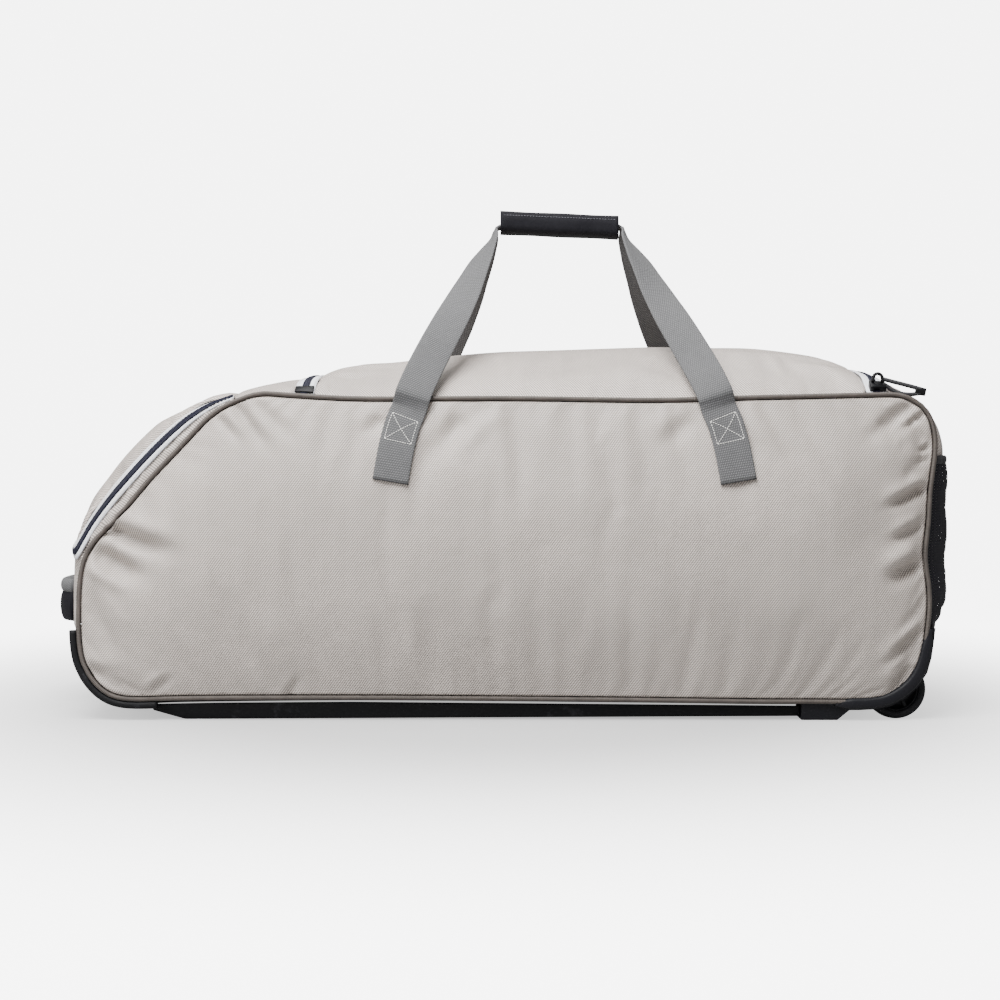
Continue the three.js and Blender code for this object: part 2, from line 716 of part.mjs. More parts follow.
function wheel() {
  const half = wheelWidth / 2;
  const bore = axleRadius + runningGap;
  const profile = [
    [bore, -half + hubDish / 2],
    [hubRadius, -half + hubDish / 2],
    [hubRadius + hubDish, -half + hubDish],
    [wheelRadius - rimRound, -half],
    [wheelRadius, -half + rimRound],
  ].map(([radius, height]) => new THREE.Vector2(radius, height));
  const upper = profile.map((point) => new THREE.Vector2(point.x, -point.y)).reverse();
  const turned = new THREE.LatheGeometry([...profile, ...upper, profile[0].clone()], wheelSides);
  return closed(turned);
}

function axle() {
  const length = gussetHalf - housingInner - 2 * gap;
  const pin = new THREE.CylinderGeometry(axleRadius, axleRadius, length, 12);
  return closed(pin);
}

// A plate with an outline in X and Z, between two places across the bag
function plate(points, near, far) {
  const shape = new THREE.Shape(points.map((point) => new THREE.Vector2(point.x, point.z)));
  const solid = new THREE.ExtrudeGeometry(shape, { depth: far - near, bevelEnabled: false });
  solid.rotateX(Math.PI / 2);
  solid.translate(0, far, 0);
  return closed(solid);
}

function asManifold(geometry) {
  const mesh = new wasm.Mesh({
    numProp: 3,
    vertProperties: new Float32Array(geometry.attributes.position.array),
    triVerts: new Uint32Array(geometry.index.array),
  });
  return new wasm.Manifold(mesh);
}

function asGeometry(manifold) {
  const mesh = manifold.getMesh();
  const geometry = new THREE.BufferGeometry();
  geometry.setAttribute('position', new THREE.BufferAttribute(Float32Array.from(mesh.vertProperties), 3));
  geometry.setIndex([...mesh.triVerts]);
  return geometry;
}

// Points of a band that follows the seam between two named rows, and stands off it by two lengths
function seamBand(from, to, inside, outside) {
  const count = 12;
  const start = station(from) + gap / 2;
  const end = station(to) - gap;
  const line = (offset) => Array.from({ length: count + 1 }, (unused, index) => {
    const seam = seamAt(THREE.MathUtils.lerp(start, end, index / count));
    return seam.point.addScaledVector(seam.out, offset);
  });
  return [...line(outside), ...line(-inside).reverse()];
}

function arcPoints(radius, from, to, count) {
  return Array.from({ length: count + 1 }, (unused, index) => {
    const turn = THREE.MathUtils.degToRad(THREE.MathUtils.lerp(from, to, index / count));
    const x = wheelCentre.x + radius * Math.cos(turn);
    return { x, z: wheelCentre.z + radius * Math.sin(turn) };
  });
}

function wheelHousing() {
  const archFrom = 42;
  const archTo = 194;
  const wellTurn = 12;
  const archParts = 12;
  const outer = wellRadius + housingWall;
  const guard = plate(seamBand('guard top', 'foot', guardDepth, guardWidth), -gussetHalf, -cheekInner);
  const roofBand = seamBand('guard top', 'foot', housingWall / 2, housingWall / 2);
  const roof = plate(roofBand, -cheekInner, -housingInner);
  const wellRing = arcPoints(wellRadius, archFrom, archFrom + 360 - wellTurn, 360 / wellTurn - 1);
  const well = plate(wellRing, -cheekInner, -housingInner - housingWall);
  const arch = plate(
    [...arcPoints(outer, archFrom, archTo, archParts), ...arcPoints(wellRadius, archTo, archFrom, archParts)],
    -cheekInner,
    -housingInner,
  );
  const boss = axleRadius * 3;
  const cheek = plate(
    [...arcPoints(outer, archFrom, archTo, archParts), ...arcPoints(boss, 220, 340, 4)],
    -housingInner - housingWall,
    -housingInner,
  );
  const footStart = seamAt(station('foot') - gap).point;
  const footRoof = seamAt(station('foot') - footLength - footSlope).point;
  const foot = plate(
    [
      { x: footStart.x, z: footStart.z },
      { x: footStart.x, z: 0 },
      { x: footStart.x + footLength, z: 0 },
      { x: footStart.x + footLength + footSlope, z: footSlopeRise },
      { x: footRoof.x, z: footRoof.z },
    ],
    -gussetHalf,
    -housingInner,
  );
  const bore = plate(arcPoints(axleRadius + gap, 0, 337.5, 15), -gussetHalf - 1, -housingInner + 1);
  const shell = asManifold(roof).add(asManifold(foot)).subtract(asManifold(well));
  const whole = shell.add(asManifold(arch)).add(asManifold(cheek)).add(asManifold(guard));
  return closed(asGeometry(whole.subtract(asManifold(bore))));
}

// Finishes, as seen on the bag
const finishes = {
  cloth: { color: 0xb9b4b0, roughness: 0.75, metalness: 0 },
  lidCloth: { color: 0xd2cfca, roughness: 0.72, metalness: 0 },
  piping: { color: 0x6e655f, roughness: 0.6, metalness: 0 },
  webbing: { color: 0x8e8e8e, roughness: 0.85, metalness: 0 },
  gripCloth: { color: 0x2e2d36, roughness: 0.8, metalness: 0 },
  zipTape: { color: 0xdedfe3, roughness: 0.8, metalness: 0 },
  baseCloth: { color: 0x1a1a1c, roughness: 0.7, metalness: 0 },
  mesh: { color: 0x201f26, roughness: 0.85, metalness: 0 },
  housing: { color: 0x3a3a40, roughness: 0.5, metalness: 0 },
  wheelRubber: { color: 0x26262a, roughness: 0.6, metalness: 0 },
  blackPlastic: { color: 0x17171a, roughness: 0.45, metalness: 0 },
  steel: { color: 0x9a9a9c, roughness: 0.35, metalness: 1 },
};

const bag = new THREE.Group();

function put(name, geometry, finish) {
  const mesh = new THREE.Mesh(geometry, new THREE.MeshStandardMaterial(finishes[finish]));
  mesh.name = name;
  bag.add(mesh);
  return mesh;
}

// A front piece and its twin at the back
function putPair(name, geometry, finish) {
  put(`${name}_front`, geometry, finish);
  put(`${name}_back`, mirrored(geometry), finish);
}

putPair('side_panel', sidePanel(), 'cloth');
putPair('piping', piping(), 'piping');
put('lid', lid(), 'lidCloth');
put('lid_zip', lidZip(), 'zipTape');
put('top_panel', gussetPiece(
  [{ along: noseFinish + gap / 2, across: -gussetHalf }, { along: lidStart - gap, across: -gussetHalf }],
  [{ along: noseFinish + gap / 2, across: gussetHalf }, { along: lidStart - gap, across: gussetHalf }],
), 'cloth');
put('nose_band', noseBand(), 'cloth');
put('nose_zip', gussetPiece(noseEdge(0), noseEdge(noseTapeWidth), { facets: 1, wall: tapeWall }), 'zipTape');
put('nose_flap', noseFlap(), 'cloth');
const endNames = ['lid end', 'top right', 'shoulder', 'end high', 'pocket top', 'end waist', 'end middle'];
endNames.push('end pinch', 'pocket foot', 'guard top');
put('end_panel', gussetBand(endNames, { startGap: gap }), 'cloth');
put('mesh_pocket', meshPocket(), 'mesh');
const heelNames = ['guard top', 'heel high', 'heel', 'heel round', 'bottom right', 'foot'];
put('heel_panel', gussetBand(heelNames, { half: housingInner - gap, facets: 4 }), 'baseCloth');
const trayNames = ['foot', 'belly right', 'belly left', 'runner start', 'toe under', 'toe', 'toe upper'];
trayNames.push('nose low', 'nose wall', 'tray top');
put('base_tray', gussetBand(trayNames, { facets: 6 }), 'baseCloth');
putPair('runner', runner(), 'baseCloth');
putPair('wheel_housing', wheelHousing(), 'housing');
putPair('handle', stripSolid(handlePath(-1)), 'webbing');
put('grip_wrap', gripWrap(), 'gripCloth');
put('end_handle', stripSolid(endHandlePath()), 'webbing');
put('end_grip', endGrip(), 'gripCloth');
const tabCentre = lidStart + lidTapeWidth / 2;
put('zip_end_tab', smallPlate(tabCentre, tabLength, tabReach, tabWall, 3 * gap), 'blackPlastic');
const sliderCentre = lidEnd - sliderLength / 2 - gap;
put('zip_slider', smallPlate(sliderCentre, sliderLength, sliderReach, sliderWall, 3 * gap), 'blackPlastic');
put('zip_puller', zipPuller(), 'blackPlastic');
for (const side of [-1, 1]) {
  const end = side < 0 ? 'front' : 'back';
  const turning = put(`wheel_${end}`, wheel(), 'wheelRubber');
  turning.position.set(wheelCentre.x, side * wheelMiddle, wheelCentre.z);
  const pin = put(`axle_${end}`, axle(), 'steel');
  pin.position.set(wheelCentre.x, (side * (gussetHalf + housingInner)) / 2, wheelCentre.z);
}

// The bag stands centred over its origin
const box = new THREE.Box3().setFromObject(bag);
bag.position.set(-(box.min.x + box.max.x) / 2, 0, -box.min.z);

export default bag;
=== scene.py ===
import math

import bmesh
import bpy
import numpy as np
from mathutils import Matrix, Vector
from mathutils.bvhtree import BVHTree
from mathutils.kdtree import KDTree


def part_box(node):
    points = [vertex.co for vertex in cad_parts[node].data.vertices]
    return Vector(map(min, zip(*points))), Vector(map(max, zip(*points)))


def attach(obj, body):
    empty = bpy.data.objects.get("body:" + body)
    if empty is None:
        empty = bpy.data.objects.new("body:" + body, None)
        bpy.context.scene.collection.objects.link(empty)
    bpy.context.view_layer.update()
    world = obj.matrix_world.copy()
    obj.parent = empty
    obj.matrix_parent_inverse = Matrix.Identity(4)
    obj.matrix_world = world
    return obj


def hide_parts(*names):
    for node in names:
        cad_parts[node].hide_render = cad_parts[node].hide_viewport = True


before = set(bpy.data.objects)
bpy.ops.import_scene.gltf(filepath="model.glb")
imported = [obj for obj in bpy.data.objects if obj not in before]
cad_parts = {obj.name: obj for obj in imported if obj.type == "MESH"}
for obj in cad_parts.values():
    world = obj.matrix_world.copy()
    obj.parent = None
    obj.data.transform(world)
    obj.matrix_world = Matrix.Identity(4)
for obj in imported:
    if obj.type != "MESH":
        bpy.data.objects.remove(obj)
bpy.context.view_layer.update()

# Camera: a little over two metres in front of the bag, near the height of its top seam and
# tilted slightly down. A long portrait lens keeps both ends of the bag square.
lens = bpy.data.cameras.new("studio_camera")
lens.lens = 69.1
lens.sensor_width = 36
camera = bpy.data.objects.new("studio_camera", lens)
camera.location = (0.0104, -2.2, 0.3)
camera.rotation_euler = (math.radians(90 - 1.85), 0, 0)
bpy.context.scene.collection.objects.link(camera)
bpy.context.scene.camera = camera

# Studio: a grey painted sweep, a broad softbox high at the front left, one above the bag, one at the
# left and a weak one at the right. To the camera alone, the paint and the air look lit through, as on
# a light table: white all round and pale grey by the bag.


def linear(code):
    """The linear colour of an sRGB hex value."""
    parts = [int(code[i : i + 2], 16) / 255 for i in (0, 2, 4)]
    return [p / 12.92 if p <= 0.04045 else ((p + 0.055) / 1.055) ** 2.4 for p in parts] + [1]


def add(material, kind, settings={}, links={}):
    """Adds a node with its settings and links. A link names an input and the socket that feeds it."""
    node = material.node_tree.nodes.new(kind)
    for name, value in settings.items():
        if isinstance(name, str) and hasattr(node, name):
            setattr(node, name, value)
        else:
            node.inputs[name].default_value = value
    for name, source in links.items():
        material.node_tree.links.new(source, node.inputs[name])
    return node


def finish_of(name, base, roughness, **more):
    """A new material with its shader, for the sections to build on."""
    material = bpy.data.materials.new(name)
    material.use_nodes = True
    shader = material.node_tree.nodes["Principled BSDF"]
    shader.inputs["Base Color"].default_value = linear(base)
    shader.inputs["Roughness"].default_value = roughness
    for socket, value in more.items():
        shader.inputs[socket.replace("_", " ")].default_value = value
    return material, shader


def ribs(pitch):
    """The scale at which a wave texture has one rib in each pitch."""
    return math.pi / 10 / pitch


sweep_paint, sweep_shader = finish_of(
    "grey_sweep_paint_with_painted_glow", "A0A0A0", 0.6, Specular_IOR_Level=0.1, Emission_Color=(1, 1, 1, 1),
)
sight = add(sweep_paint, "ShaderNodeLightPath")
far_off = add(
    sweep_paint,
    "ShaderNodeVectorMath",
    {"operation": "LENGTH"},
    {0: add(sweep_paint, "ShaderNodeTexCoord").outputs["Object"]},
)
# Painted light: to the camera alone the grey paint glows, white far from the bag and fading to pale grey by it.
lit_through = add(
    sweep_paint,
    "ShaderNodeMapRange",
    {"interpolation_type": "SMOOTHSTEP", "From Min": 0.3, "From Max": 1.15, "To Min": 0.6, "To Max": 6},
    {"Value": far_off.outputs["Value"]},
)
lamp_white = add(
    sweep_paint,
    "ShaderNodeMath",
    {"operation": "MULTIPLY"},
    {0: lit_through.outputs["Result"], 1: sight.outputs["Is Camera Ray"]},
)
sweep_paint.node_tree.links.new(lamp_white.outputs["Value"], sweep_shader.inputs["Emission Strength"])
sweep_bm = bmesh.new()
bmesh.ops.create_grid(sweep_bm, x_segments=1, y_segments=1, size=4)
back_edge = [e for e in sweep_bm.edges if all(v.co.y > 3.9 for v in e.verts)]
wall = bmesh.ops.extrude_edge_only(sweep_bm, edges=back_edge)["geom"]
bmesh.ops.translate(sweep_bm, vec=(0, 0, 4), verts=[g for g in wall if isinstance(g, bmesh.types.BMVert)])
bmesh.ops.bevel(sweep_bm, geom=back_edge, affect="EDGES", offset=1.6, segments=16, profile=0.5, material=-1)
sweep_mesh = bpy.data.meshes.new("studio_sweep")
sweep_bm.to_mesh(sweep_mesh)
sweep_mesh.shade_smooth()
sweep = bpy.data.objects.new("studio_sweep", sweep_mesh)
sweep_mesh.materials.append(sweep_paint)
bpy.context.scene.collection.objects.link(sweep)

for name, place, aim, size, watts in (
    ("softbox_top", (-0.45, -1.05, 1.95), (0, 0, 0.2), 1.3, 124),
    ("softbox_above", (0.1, 0.5, 2.3), (0, 0, 0.2), 1.2, 34),
    ("softbox_left", (-2.0, -1.5, 0.9), (0, 0, 0.2), 1.1, 30),
    ("softbox_right", (2.2, -1.0, 1.1), (0.1, 0, 0.2), 1.4, 4),
):
    glow = bpy.data.lights.new(name, "AREA")
    glow.shape = "SQUARE"
    glow.size = size
    glow.energy = watts
    lamp = bpy.data.objects.new(name, glow)
    lamp.location = place
    lamp.rotation_euler = (Vector(aim) - Vector(place)).to_track_quat("-Z", "Y").to_euler()
    bpy.context.scene.collection.objects.link(lamp)
world = bpy.data.worlds.new("studio_air")
world.use_nodes = True
world.node_tree.nodes["Background"].inputs["Color"].default_value = (1, 1, 1, 1)
air_seen = add(world, "ShaderNodeLightPath")
air = add(
    world, "ShaderNodeMapRange", {"To Min": 0.32, "To Max": 6.5}, {"Value": air_seen.outputs["Is Camera Ray"]},
)
world.node_tree.links.new(air.outputs["Result"], world.node_tree.nodes["Background"].inputs["Strength"])
bpy.context.scene.world = world

# Side panels: one sheet of woven polyester each, sewn in all round and domed by the stuffing.
# Tension folds run in from the corners, from the pinched end seam and from the strap feet.


def sheet_of(node, inside):
    """The outer sheet of a CAD cloth solid: the faces between its sharp rims that look outwards."""
    cloth = bmesh.new()
    cloth.from_mesh(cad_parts[node].data)
    bmesh.ops.remove_doubles(cloth, verts=cloth.verts, dist=1e-5)
    left = set(cloth.faces)
    groups = []
    while left:
        group, edge_faces = [], [left.pop()]
        while edge_faces:
            face = edge_faces.pop()
            group.append(face)
            for edge in face.edges:
                if edge.calc_face_angle(0) < math.radians(58):
                    near = [f for f in edge.link_faces if f in left]
                    left.difference_update(near)
                    edge_faces += near
        facing = sum(f.calc_area() * f.normal.dot((f.calc_center_median() - inside).normalized()) for f in group)
        groups.append((facing, group))
    best = max(facing for facing, _ in groups)
    outer = {face for facing, group in groups if facing > 0.12 * best for face in group}
    rest = set(cloth.faces) - outer
    bmesh.ops.delete(cloth, geom=list(rest), context="FACES")
    bmesh.ops.join_triangles(
        cloth,
        faces=cloth.faces,
        angle_face_threshold=math.radians(50),
        angle_shape_threshold=math.radians(70),
    )
    return cloth


def put(name, shape, material, body="bag", replaces=()):
    """Makes a piece of a bmesh, or of a mesh, that rides on a body."""
    if isinstance(shape, bmesh.types.BMesh):
        mesh = bpy.data.meshes.new(name)
        shape.to_mesh(mesh)
        shape.free()
    else:
        mesh = shape
    mesh.shade_smooth()
    mesh.materials.clear()
    mesh.materials.append(material)
    piece = bpy.data.objects.new(name, mesh)
    bpy.context.scene.collection.objects.link(piece)
    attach(piece, body)
    if replaces:
        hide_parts(*replaces)
    return piece


def settle(piece):
    """Applies the modifiers of a piece to its mesh."""
    seen = piece.evaluated_get(bpy.context.evaluated_depsgraph_get())
    mesh = bpy.data.meshes.new_from_object(seen)
    piece.modifiers.clear()
    piece.data = mesh


def finer(piece, levels):
    modifier = piece.modifiers.new("finer", "SUBSURF")
    modifier.levels = modifier.render_levels = levels
    settle(piece)


def points_of(piece):
    points = np.empty(len(piece.data.vertices) * 3)
    piece.data.vertices.foreach_get("co", points)
    return points.reshape(-1, 3)


def move_to(piece, points):
    piece.data.vertices.foreach_set("co", points.ravel())
    piece.data.update()


def lay_flat(piece, across, up):
    """Gives the cloth a UV map in metres, from two numbers for each of its points."""
    corners = np.empty(len(piece.data.loops), int)
    piece.data.loops.foreach_get("vertex_index", corners)
    uv = piece.data.uv_layers.new(name="cloth")
    uv.data.foreach_set("uv", np.column_stack([across[corners], up[corners]]).ravel())


def stuff(piece, pressure, slack, cap, frames=20, bend=0.6):
    """Blows the sheet up with its rim held, in the Cloth simulation, and caps how far it moves."""
    start = points_of(piece)
    rim = bmesh.new()
    rim.from_mesh(piece.data)
    held = [v.index for v in rim.verts if v.is_boundary]
    rim.free()
    piece.vertex_groups.new(name="seam").add(held, 1, "REPLACE")
    cloth = piece.modifiers.new("cloth", "CLOTH")
    cloth.settings.quality = 4
    cloth.settings.mass = 0.15
    cloth.settings.vertex_group_mass = "seam"
    cloth.settings.use_pressure = True
    cloth.settings.uniform_pressure_force = pressure
    cloth.settings.shrink_min = -slack
    cloth.settings.bending_stiffness = bend
    cloth.settings.effector_weights.gravity = 0
    cloth.collision_settings.use_collision = False
    cloth.point_cache.frame_start = 1
    cloth.point_cache.frame_end = frames
    for step in range(1, frames + 1):
        bpy.context.scene.frame_set(step)
    settle(piece)
    bpy.context.scene.frame_set(1)
    moved = points_of(piece) - start
    far = np.linalg.norm(moved, axis=1, keepdims=True)
    move_to(piece, start + moved * np.where(far > 0, cap * np.tanh(far / cap) / np.maximum(far, 1e-9), 0))


def fold(piece, folds, across, up, away):
    """Presses folds into the cloth. Each has two ends, a width and a depth in mm: a valley with a
    softer ridge on its upper side, both fading towards the second end."""
    points = points_of(piece)
    for x0, z0, x1, z1, width, depth in folds:
        a, b = np.array((x0, z0)) / 1000, np.array((x1, z1)) / 1000
        length = np.linalg.norm(b - a)
        run = (b - a) / length
        side = np.array((-run[1], run[0]))
        if side[1] < 0:
            side = -side
        flat = np.column_stack([across, up]) - a
        along, off = flat @ run / length, flat @ side / (width / 1000)
        taper = 1 / (1 + np.exp(-(along + 0.02) * 18)) / (1 + np.exp((along - 0.8) * 9))
        press = np.exp(-(off**2)) - 0.55 * np.exp(-((off - 1.7) ** 2) / 1.4)
        points -= away * (press * taper * depth / 1000)[:, None]
    move_to(piece, points)


def weave(name, light, dark, shine, pitch=0.0027, **more):
    """Woven polyester: short slanted floats of bright yarn a pitch apart, in rows 0.7 of it high, each
    row half a float on from the last; the gaps between them are painted darker, as their shade. The eye
    sees a fine broken twill with a soft satin glow, faint streaks up the cloth, slack and crumpled
    places, and duller rubbed ones."""
    material, shader = finish_of(name, light, shine, **{"Sheen_Weight": 0.1, "Sheen_Roughness": 0.35, **more})
    place = add(material, "ShaderNodeUVMap", {"uv_map": "cloth"}).outputs["UV"]
    parts = add(material, "ShaderNodeSeparateXYZ", {}, {"Vector": place})
    column = add(material, "ShaderNodeMath", {"operation": "DIVIDE", 1: pitch}, {0: parts.outputs["X"]})
    height = add(material, "ShaderNodeMath", {"operation": "DIVIDE", 1: pitch * 0.7}, {0: parts.outputs["Y"]})
    row = add(material, "ShaderNodeMath", {"operation": "FLOOR"}, {0: height.outputs["Value"]})
    rise = add(material, "ShaderNodeMath", {"operation": "FRACT"}, {0: height.outputs["Value"]})
    lean = add(
        material,
        "ShaderNodeMath",
        {"operation": "MULTIPLY_ADD", 1: -0.7},
        {0: rise.outputs["Value"], 2: column.outputs["Value"]},
    )
    shifted = add(
        material,
        "ShaderNodeMath",
        {"operation": "MULTIPLY_ADD", 1: 0.5},
        {0: row.outputs["Value"], 2: lean.outputs["Value"]},
    )
    across = add(material, "ShaderNodeMath", {"operation": "PINGPONG", 1: 0.5}, {0: shifted.outputs["Value"]})
    crown = add(material, "ShaderNodeMath", {"operation": "PINGPONG", 1: 0.5}, {0: rise.outputs["Value"]})
    body = add(
        material,
        "ShaderNodeMapRange",
        {"From Max": 0.5, "To Min": 0.2, "To Max": 0.5},
        {"Value": crown.outputs["Value"]},
    )
    yarn = add(
        material,
        "ShaderNodeMath",
        {"operation": "MULTIPLY"},
        {0: across.outputs["Value"], 1: body.outputs["Result"]},
    )
    sharp = add(
        material,
        "ShaderNodeMapRange",
        {"From Min": 0.04, "From Max": 0.15},
        {"Value": yarn.outputs["Value"]},
    )
    rubbed = add(material, "ShaderNodeTexNoise", {"Scale": 7, "Detail": 4, "Roughness": 0.6}, {"Vector": place})
    slub_place = add(material, "ShaderNodeMapping", {"Scale": (90, 3, 1)}, {"Vector": place})
    slub = add(
        material,
        "ShaderNodeTexNoise",
        {"Scale": 1, "Detail": 3},
        {"Vector": slub_place.outputs["Vector"]},
    )
    # Painted shade: the yarn's own colour on the floats, darkening to the second colour in the gaps between them.
    thread = add(material, "ShaderNodeMix", {"data_type": "RGBA"}, {})
    thread.inputs[6].default_value = linear(dark)
    thread.inputs[7].default_value = linear(light)
    material.node_tree.links.new(sharp.outputs["Result"], thread.inputs[0])
    tone = add(
        material,
        "ShaderNodeMapRange",
        {"From Min": 0.3, "From Max": 0.7, "To Min": 0.93, "To Max": 1.05},
        {"Value": rubbed.outputs["Fac"]},
    )
    streak = add(
        material,
        "ShaderNodeMapRange",
        {"From Min": 0.3, "From Max": 0.7, "To Min": 0.965, "To Max": 1.03},
        {"Value": slub.outputs["Fac"]},
    )
    both = add(
        material, "ShaderNodeMath", {"operation": "MULTIPLY"}, {
            0: tone.outputs["Result"], 1: streak.outputs["Result"],
        }
    )
    shaded = add(
        material,
        "ShaderNodeVectorMath",
        {"operation": "SCALE"},
        {0: thread.outputs[2], "Scale": both.outputs["Value"]},
    )
    material.node_tree.links.new(shaded.outputs["Vector"], shader.inputs["Base Color"])
    gloss = add(
        material,
        "ShaderNodeMapRange",
        {"To Min": shine + 0.18, "To Max": shine - 0.04},
        {"Value": sharp.outputs["Result"]},
    )
    material.node_tree.links.new(gloss.outputs["Result"], shader.inputs["Roughness"])
    crumple = add(
        material, "ShaderNodeTexNoise", {"Scale": 26, "Detail": 3, "Roughness": 0.55}, {"Vector": place}
    )
    slack = add(material, "ShaderNodeTexNoise", {"Scale": 7, "Detail": 1.5}, {"Vector": place})
    sag = add(material, "ShaderNodeBump", {"Strength": 0.5, "Distance": 0.018}, {"Height": slack.outputs["Fac"]})
    soft = add(
        material,
        "ShaderNodeBump",
        {"Strength": 0.4, "Distance": 0.004},
        {"Height": crumple.outputs["Fac"], "Normal": sag.outputs["Normal"]},
    )
    relief = add(
        material,
        "ShaderNodeBump",
        {"Strength": 0.5, "Distance": 0.0003},
        {"Height": sharp.outputs["Result"], "Normal": soft.outputs["Normal"]},
    )
    material.node_tree.links.new(relief.outputs["Normal"], shader.inputs["Normal"])
    return material


# Its second colour is painted shade in the gaps of the weave.
polyester = weave("woven_silver_polyester", "D0C6BE", "78706A", 0.43)

front_folds = [
    (-407, 204, -331, 178, 9, 13),
    (-413, 181, -362, 152, 8, 10),
    (-422, 163, -378, 137, 7, -6),
    (-287, 322, -261, 293, 5, 4.4),
    (-267, 332, -230, 284, 6, 5.4),
    (-247, 334, -204, 296, 7, 3),
    (-358, 33, -335, 49, 5, 3.6),
    (-426, 55, -400, 48, 7, 3.4),
    (-214, 28, -200, 52, 4, 3.2),
    (-115, 320, -130, 301, 9, 4),
    (-29, 318, -62, 277, 12, 5),
    (3, 323, -34, 286, 10, -3),
    (248, 318, 284, 276, 12, 4),
    (210, 318, 178, 288, 10, 3.4),
    (457, 325, 431, 306, 4, 4.4),
    (444, 334, 392, 296, 8, 4),
    (463, 291, 452, 285, 3, 3),
    (463, 277, 447, 275, 3, 3),
    (458, 246, 414, 227, 6, 11),
    (456, 208, 422, 192, 6, 8),
    (453, 168, 416, 150, 9, 13),
    (456, 96, 422, 74, 5, 6.5),
    (448, 84, 412, 60, 5, 4),
    (447, 58, 422, 29, 8, 4.4),
]
back_folds = [(x0, z0 - 6, x1, z1 + 4, width, depth * 0.85) for x0, z0, x1, z1, width, depth in front_folds[::2]]
seam_line = None
for end, way, folds in (("front", -1, front_folds), ("back", 1, back_folds)):
    panel = put(
        f"panel_{end}",
        sheet_of(f"side_panel_{end}", Vector((0, 0, 0.18))),
        polyester,
        replaces=[f"side_panel_{end}"],
    )
    finer(panel, 3)
    flat = points_of(panel)
    lay_flat(panel, flat[:, 0], flat[:, 2])
    stuff(panel, 2.2, 0.012, 0.009)
    fold(panel, folds, flat[:, 0], flat[:, 2], np.array((0, way, 0)))
    wall = panel.modifiers.new("cloth_wall", "SOLIDIFY")
    wall.thickness = 0.0016
    wall.offset = -1

# Piping: a cord in a folded strip of grey-brown cloth, sewn into the seam round each side panel.


def rim_of(piece):
    """The points round the open edge of a sheet, in order."""
    shape = bmesh.new()
    shape.from_mesh(piece.data)
    shape.edges.ensure_lookup_table()
    first = next(e for e in shape.edges if e.is_boundary)
    walk, at, edge = [first.verts[0].co.copy()], first.verts[1], first
    while (at.co - walk[0]).length > 1e-7:
        walk.append(at.co.copy())
        edge = next(e for e in at.link_edges if e.is_boundary and e != edge)
        at = edge.other_vert(at)
    shape.free()
    return np.array(walk)


def glide(rows, per, closed=False):
    """Rows of numbers with a smooth curve through them, in so many steps for each row."""
    rows = np.asarray(rows, float)
    if closed:
        p = np.vstack([rows[-1:], rows, rows[:2]])
    else:
        p = np.vstack([2 * rows[:1] - rows[1:2], rows, 2 * rows[-1:] - rows[-2:-1]])
    out = []
    for i in range(1, len(p) - 2):
        for t in np.arange(per) / per:
            out.append(
                0.5
                * (
                    2 * p[i]
                    + (p[i + 1] - p[i - 1]) * t
                    + (2 * p[i - 1] - 5 * p[i] + 4 * p[i + 1] - p[i + 2]) * t**2
                    + (3 * p[i] - p[i - 1] - 3 * p[i + 1] + p[i + 2]) * t**3
                )
            )
    if not closed:
        out.append(rows[-1])
    return np.array(out)


def carry(path, side, face, section, wide=None, thick=None, closed=False):
    """A section carried along a path as one closed skin, with a UV map in metres. The section's
    points are shares of half a width and half a thickness; side and face are its two directions."""
    path, side, face = (np.asarray(x, float) for x in (path, side, face))
    count, turns = len(path), len(section)
    wide = np.broadcast_to(1 if wide is None else wide, count)
    thick = np.broadcast_to(1 if thick is None else thick, count)
    run = np.concatenate([[0], np.cumsum(np.linalg.norm(np.diff(path, axis=0), axis=1))])
    total = run[-1] + (np.linalg.norm(path[0] - path[-1]) if closed else 0)
    skin = bmesh.new()
    uv = skin.loops.layers.uv.new("cloth")
    steps = count if closed else count - 1
    bmesh.ops.create_grid(skin, x_segments=steps, y_segments=turns, size=0.5)
    section = np.asarray(section, float)
    lap = np.concatenate([section, section[:1]])
    real = np.diff(lap, axis=0) * (np.mean(wide) / 2, np.mean(thick) / 2)
    girth = np.concatenate([[0], np.cumsum(np.linalg.norm(real, axis=1))])
    for vert in skin.verts:
        i, j = round((vert.co.x + 0.5) * steps), round((vert.co.y + 0.5) * turns)
        at = run[i] if i < count else total
        for loop in vert.link_loops:
            loop[uv].uv = (at, girth[j])
        k = i % count
        a, b = lap[j]
        vert.co = path[k] + side[k] * a * wide[k] / 2 + face[k] * b * thick[k] / 2
    bmesh.ops.remove_doubles(skin, verts=skin.verts, dist=1e-6)
    if not closed:
        rim = [e for e in skin.edges if e.is_boundary]
        bmesh.ops.holes_fill(skin, edges=rim, sides=0)
    bmesh.ops.recalc_face_normals(skin, faces=skin.faces)
    return skin


def round_section(count):
    return [(math.cos(2 * math.pi * k / count), math.sin(2 * math.pi * k / count)) for k in range(count)]


def crossways(path, closed=False):
    """Unit direction of a path at each of its points."""
    if closed:
        run = np.roll(path, -1, 0) - np.roll(path, 1, 0)
    else:
        run = np.gradient(path, axis=0)
    return run / np.linalg.norm(run, axis=1, keepdims=True)


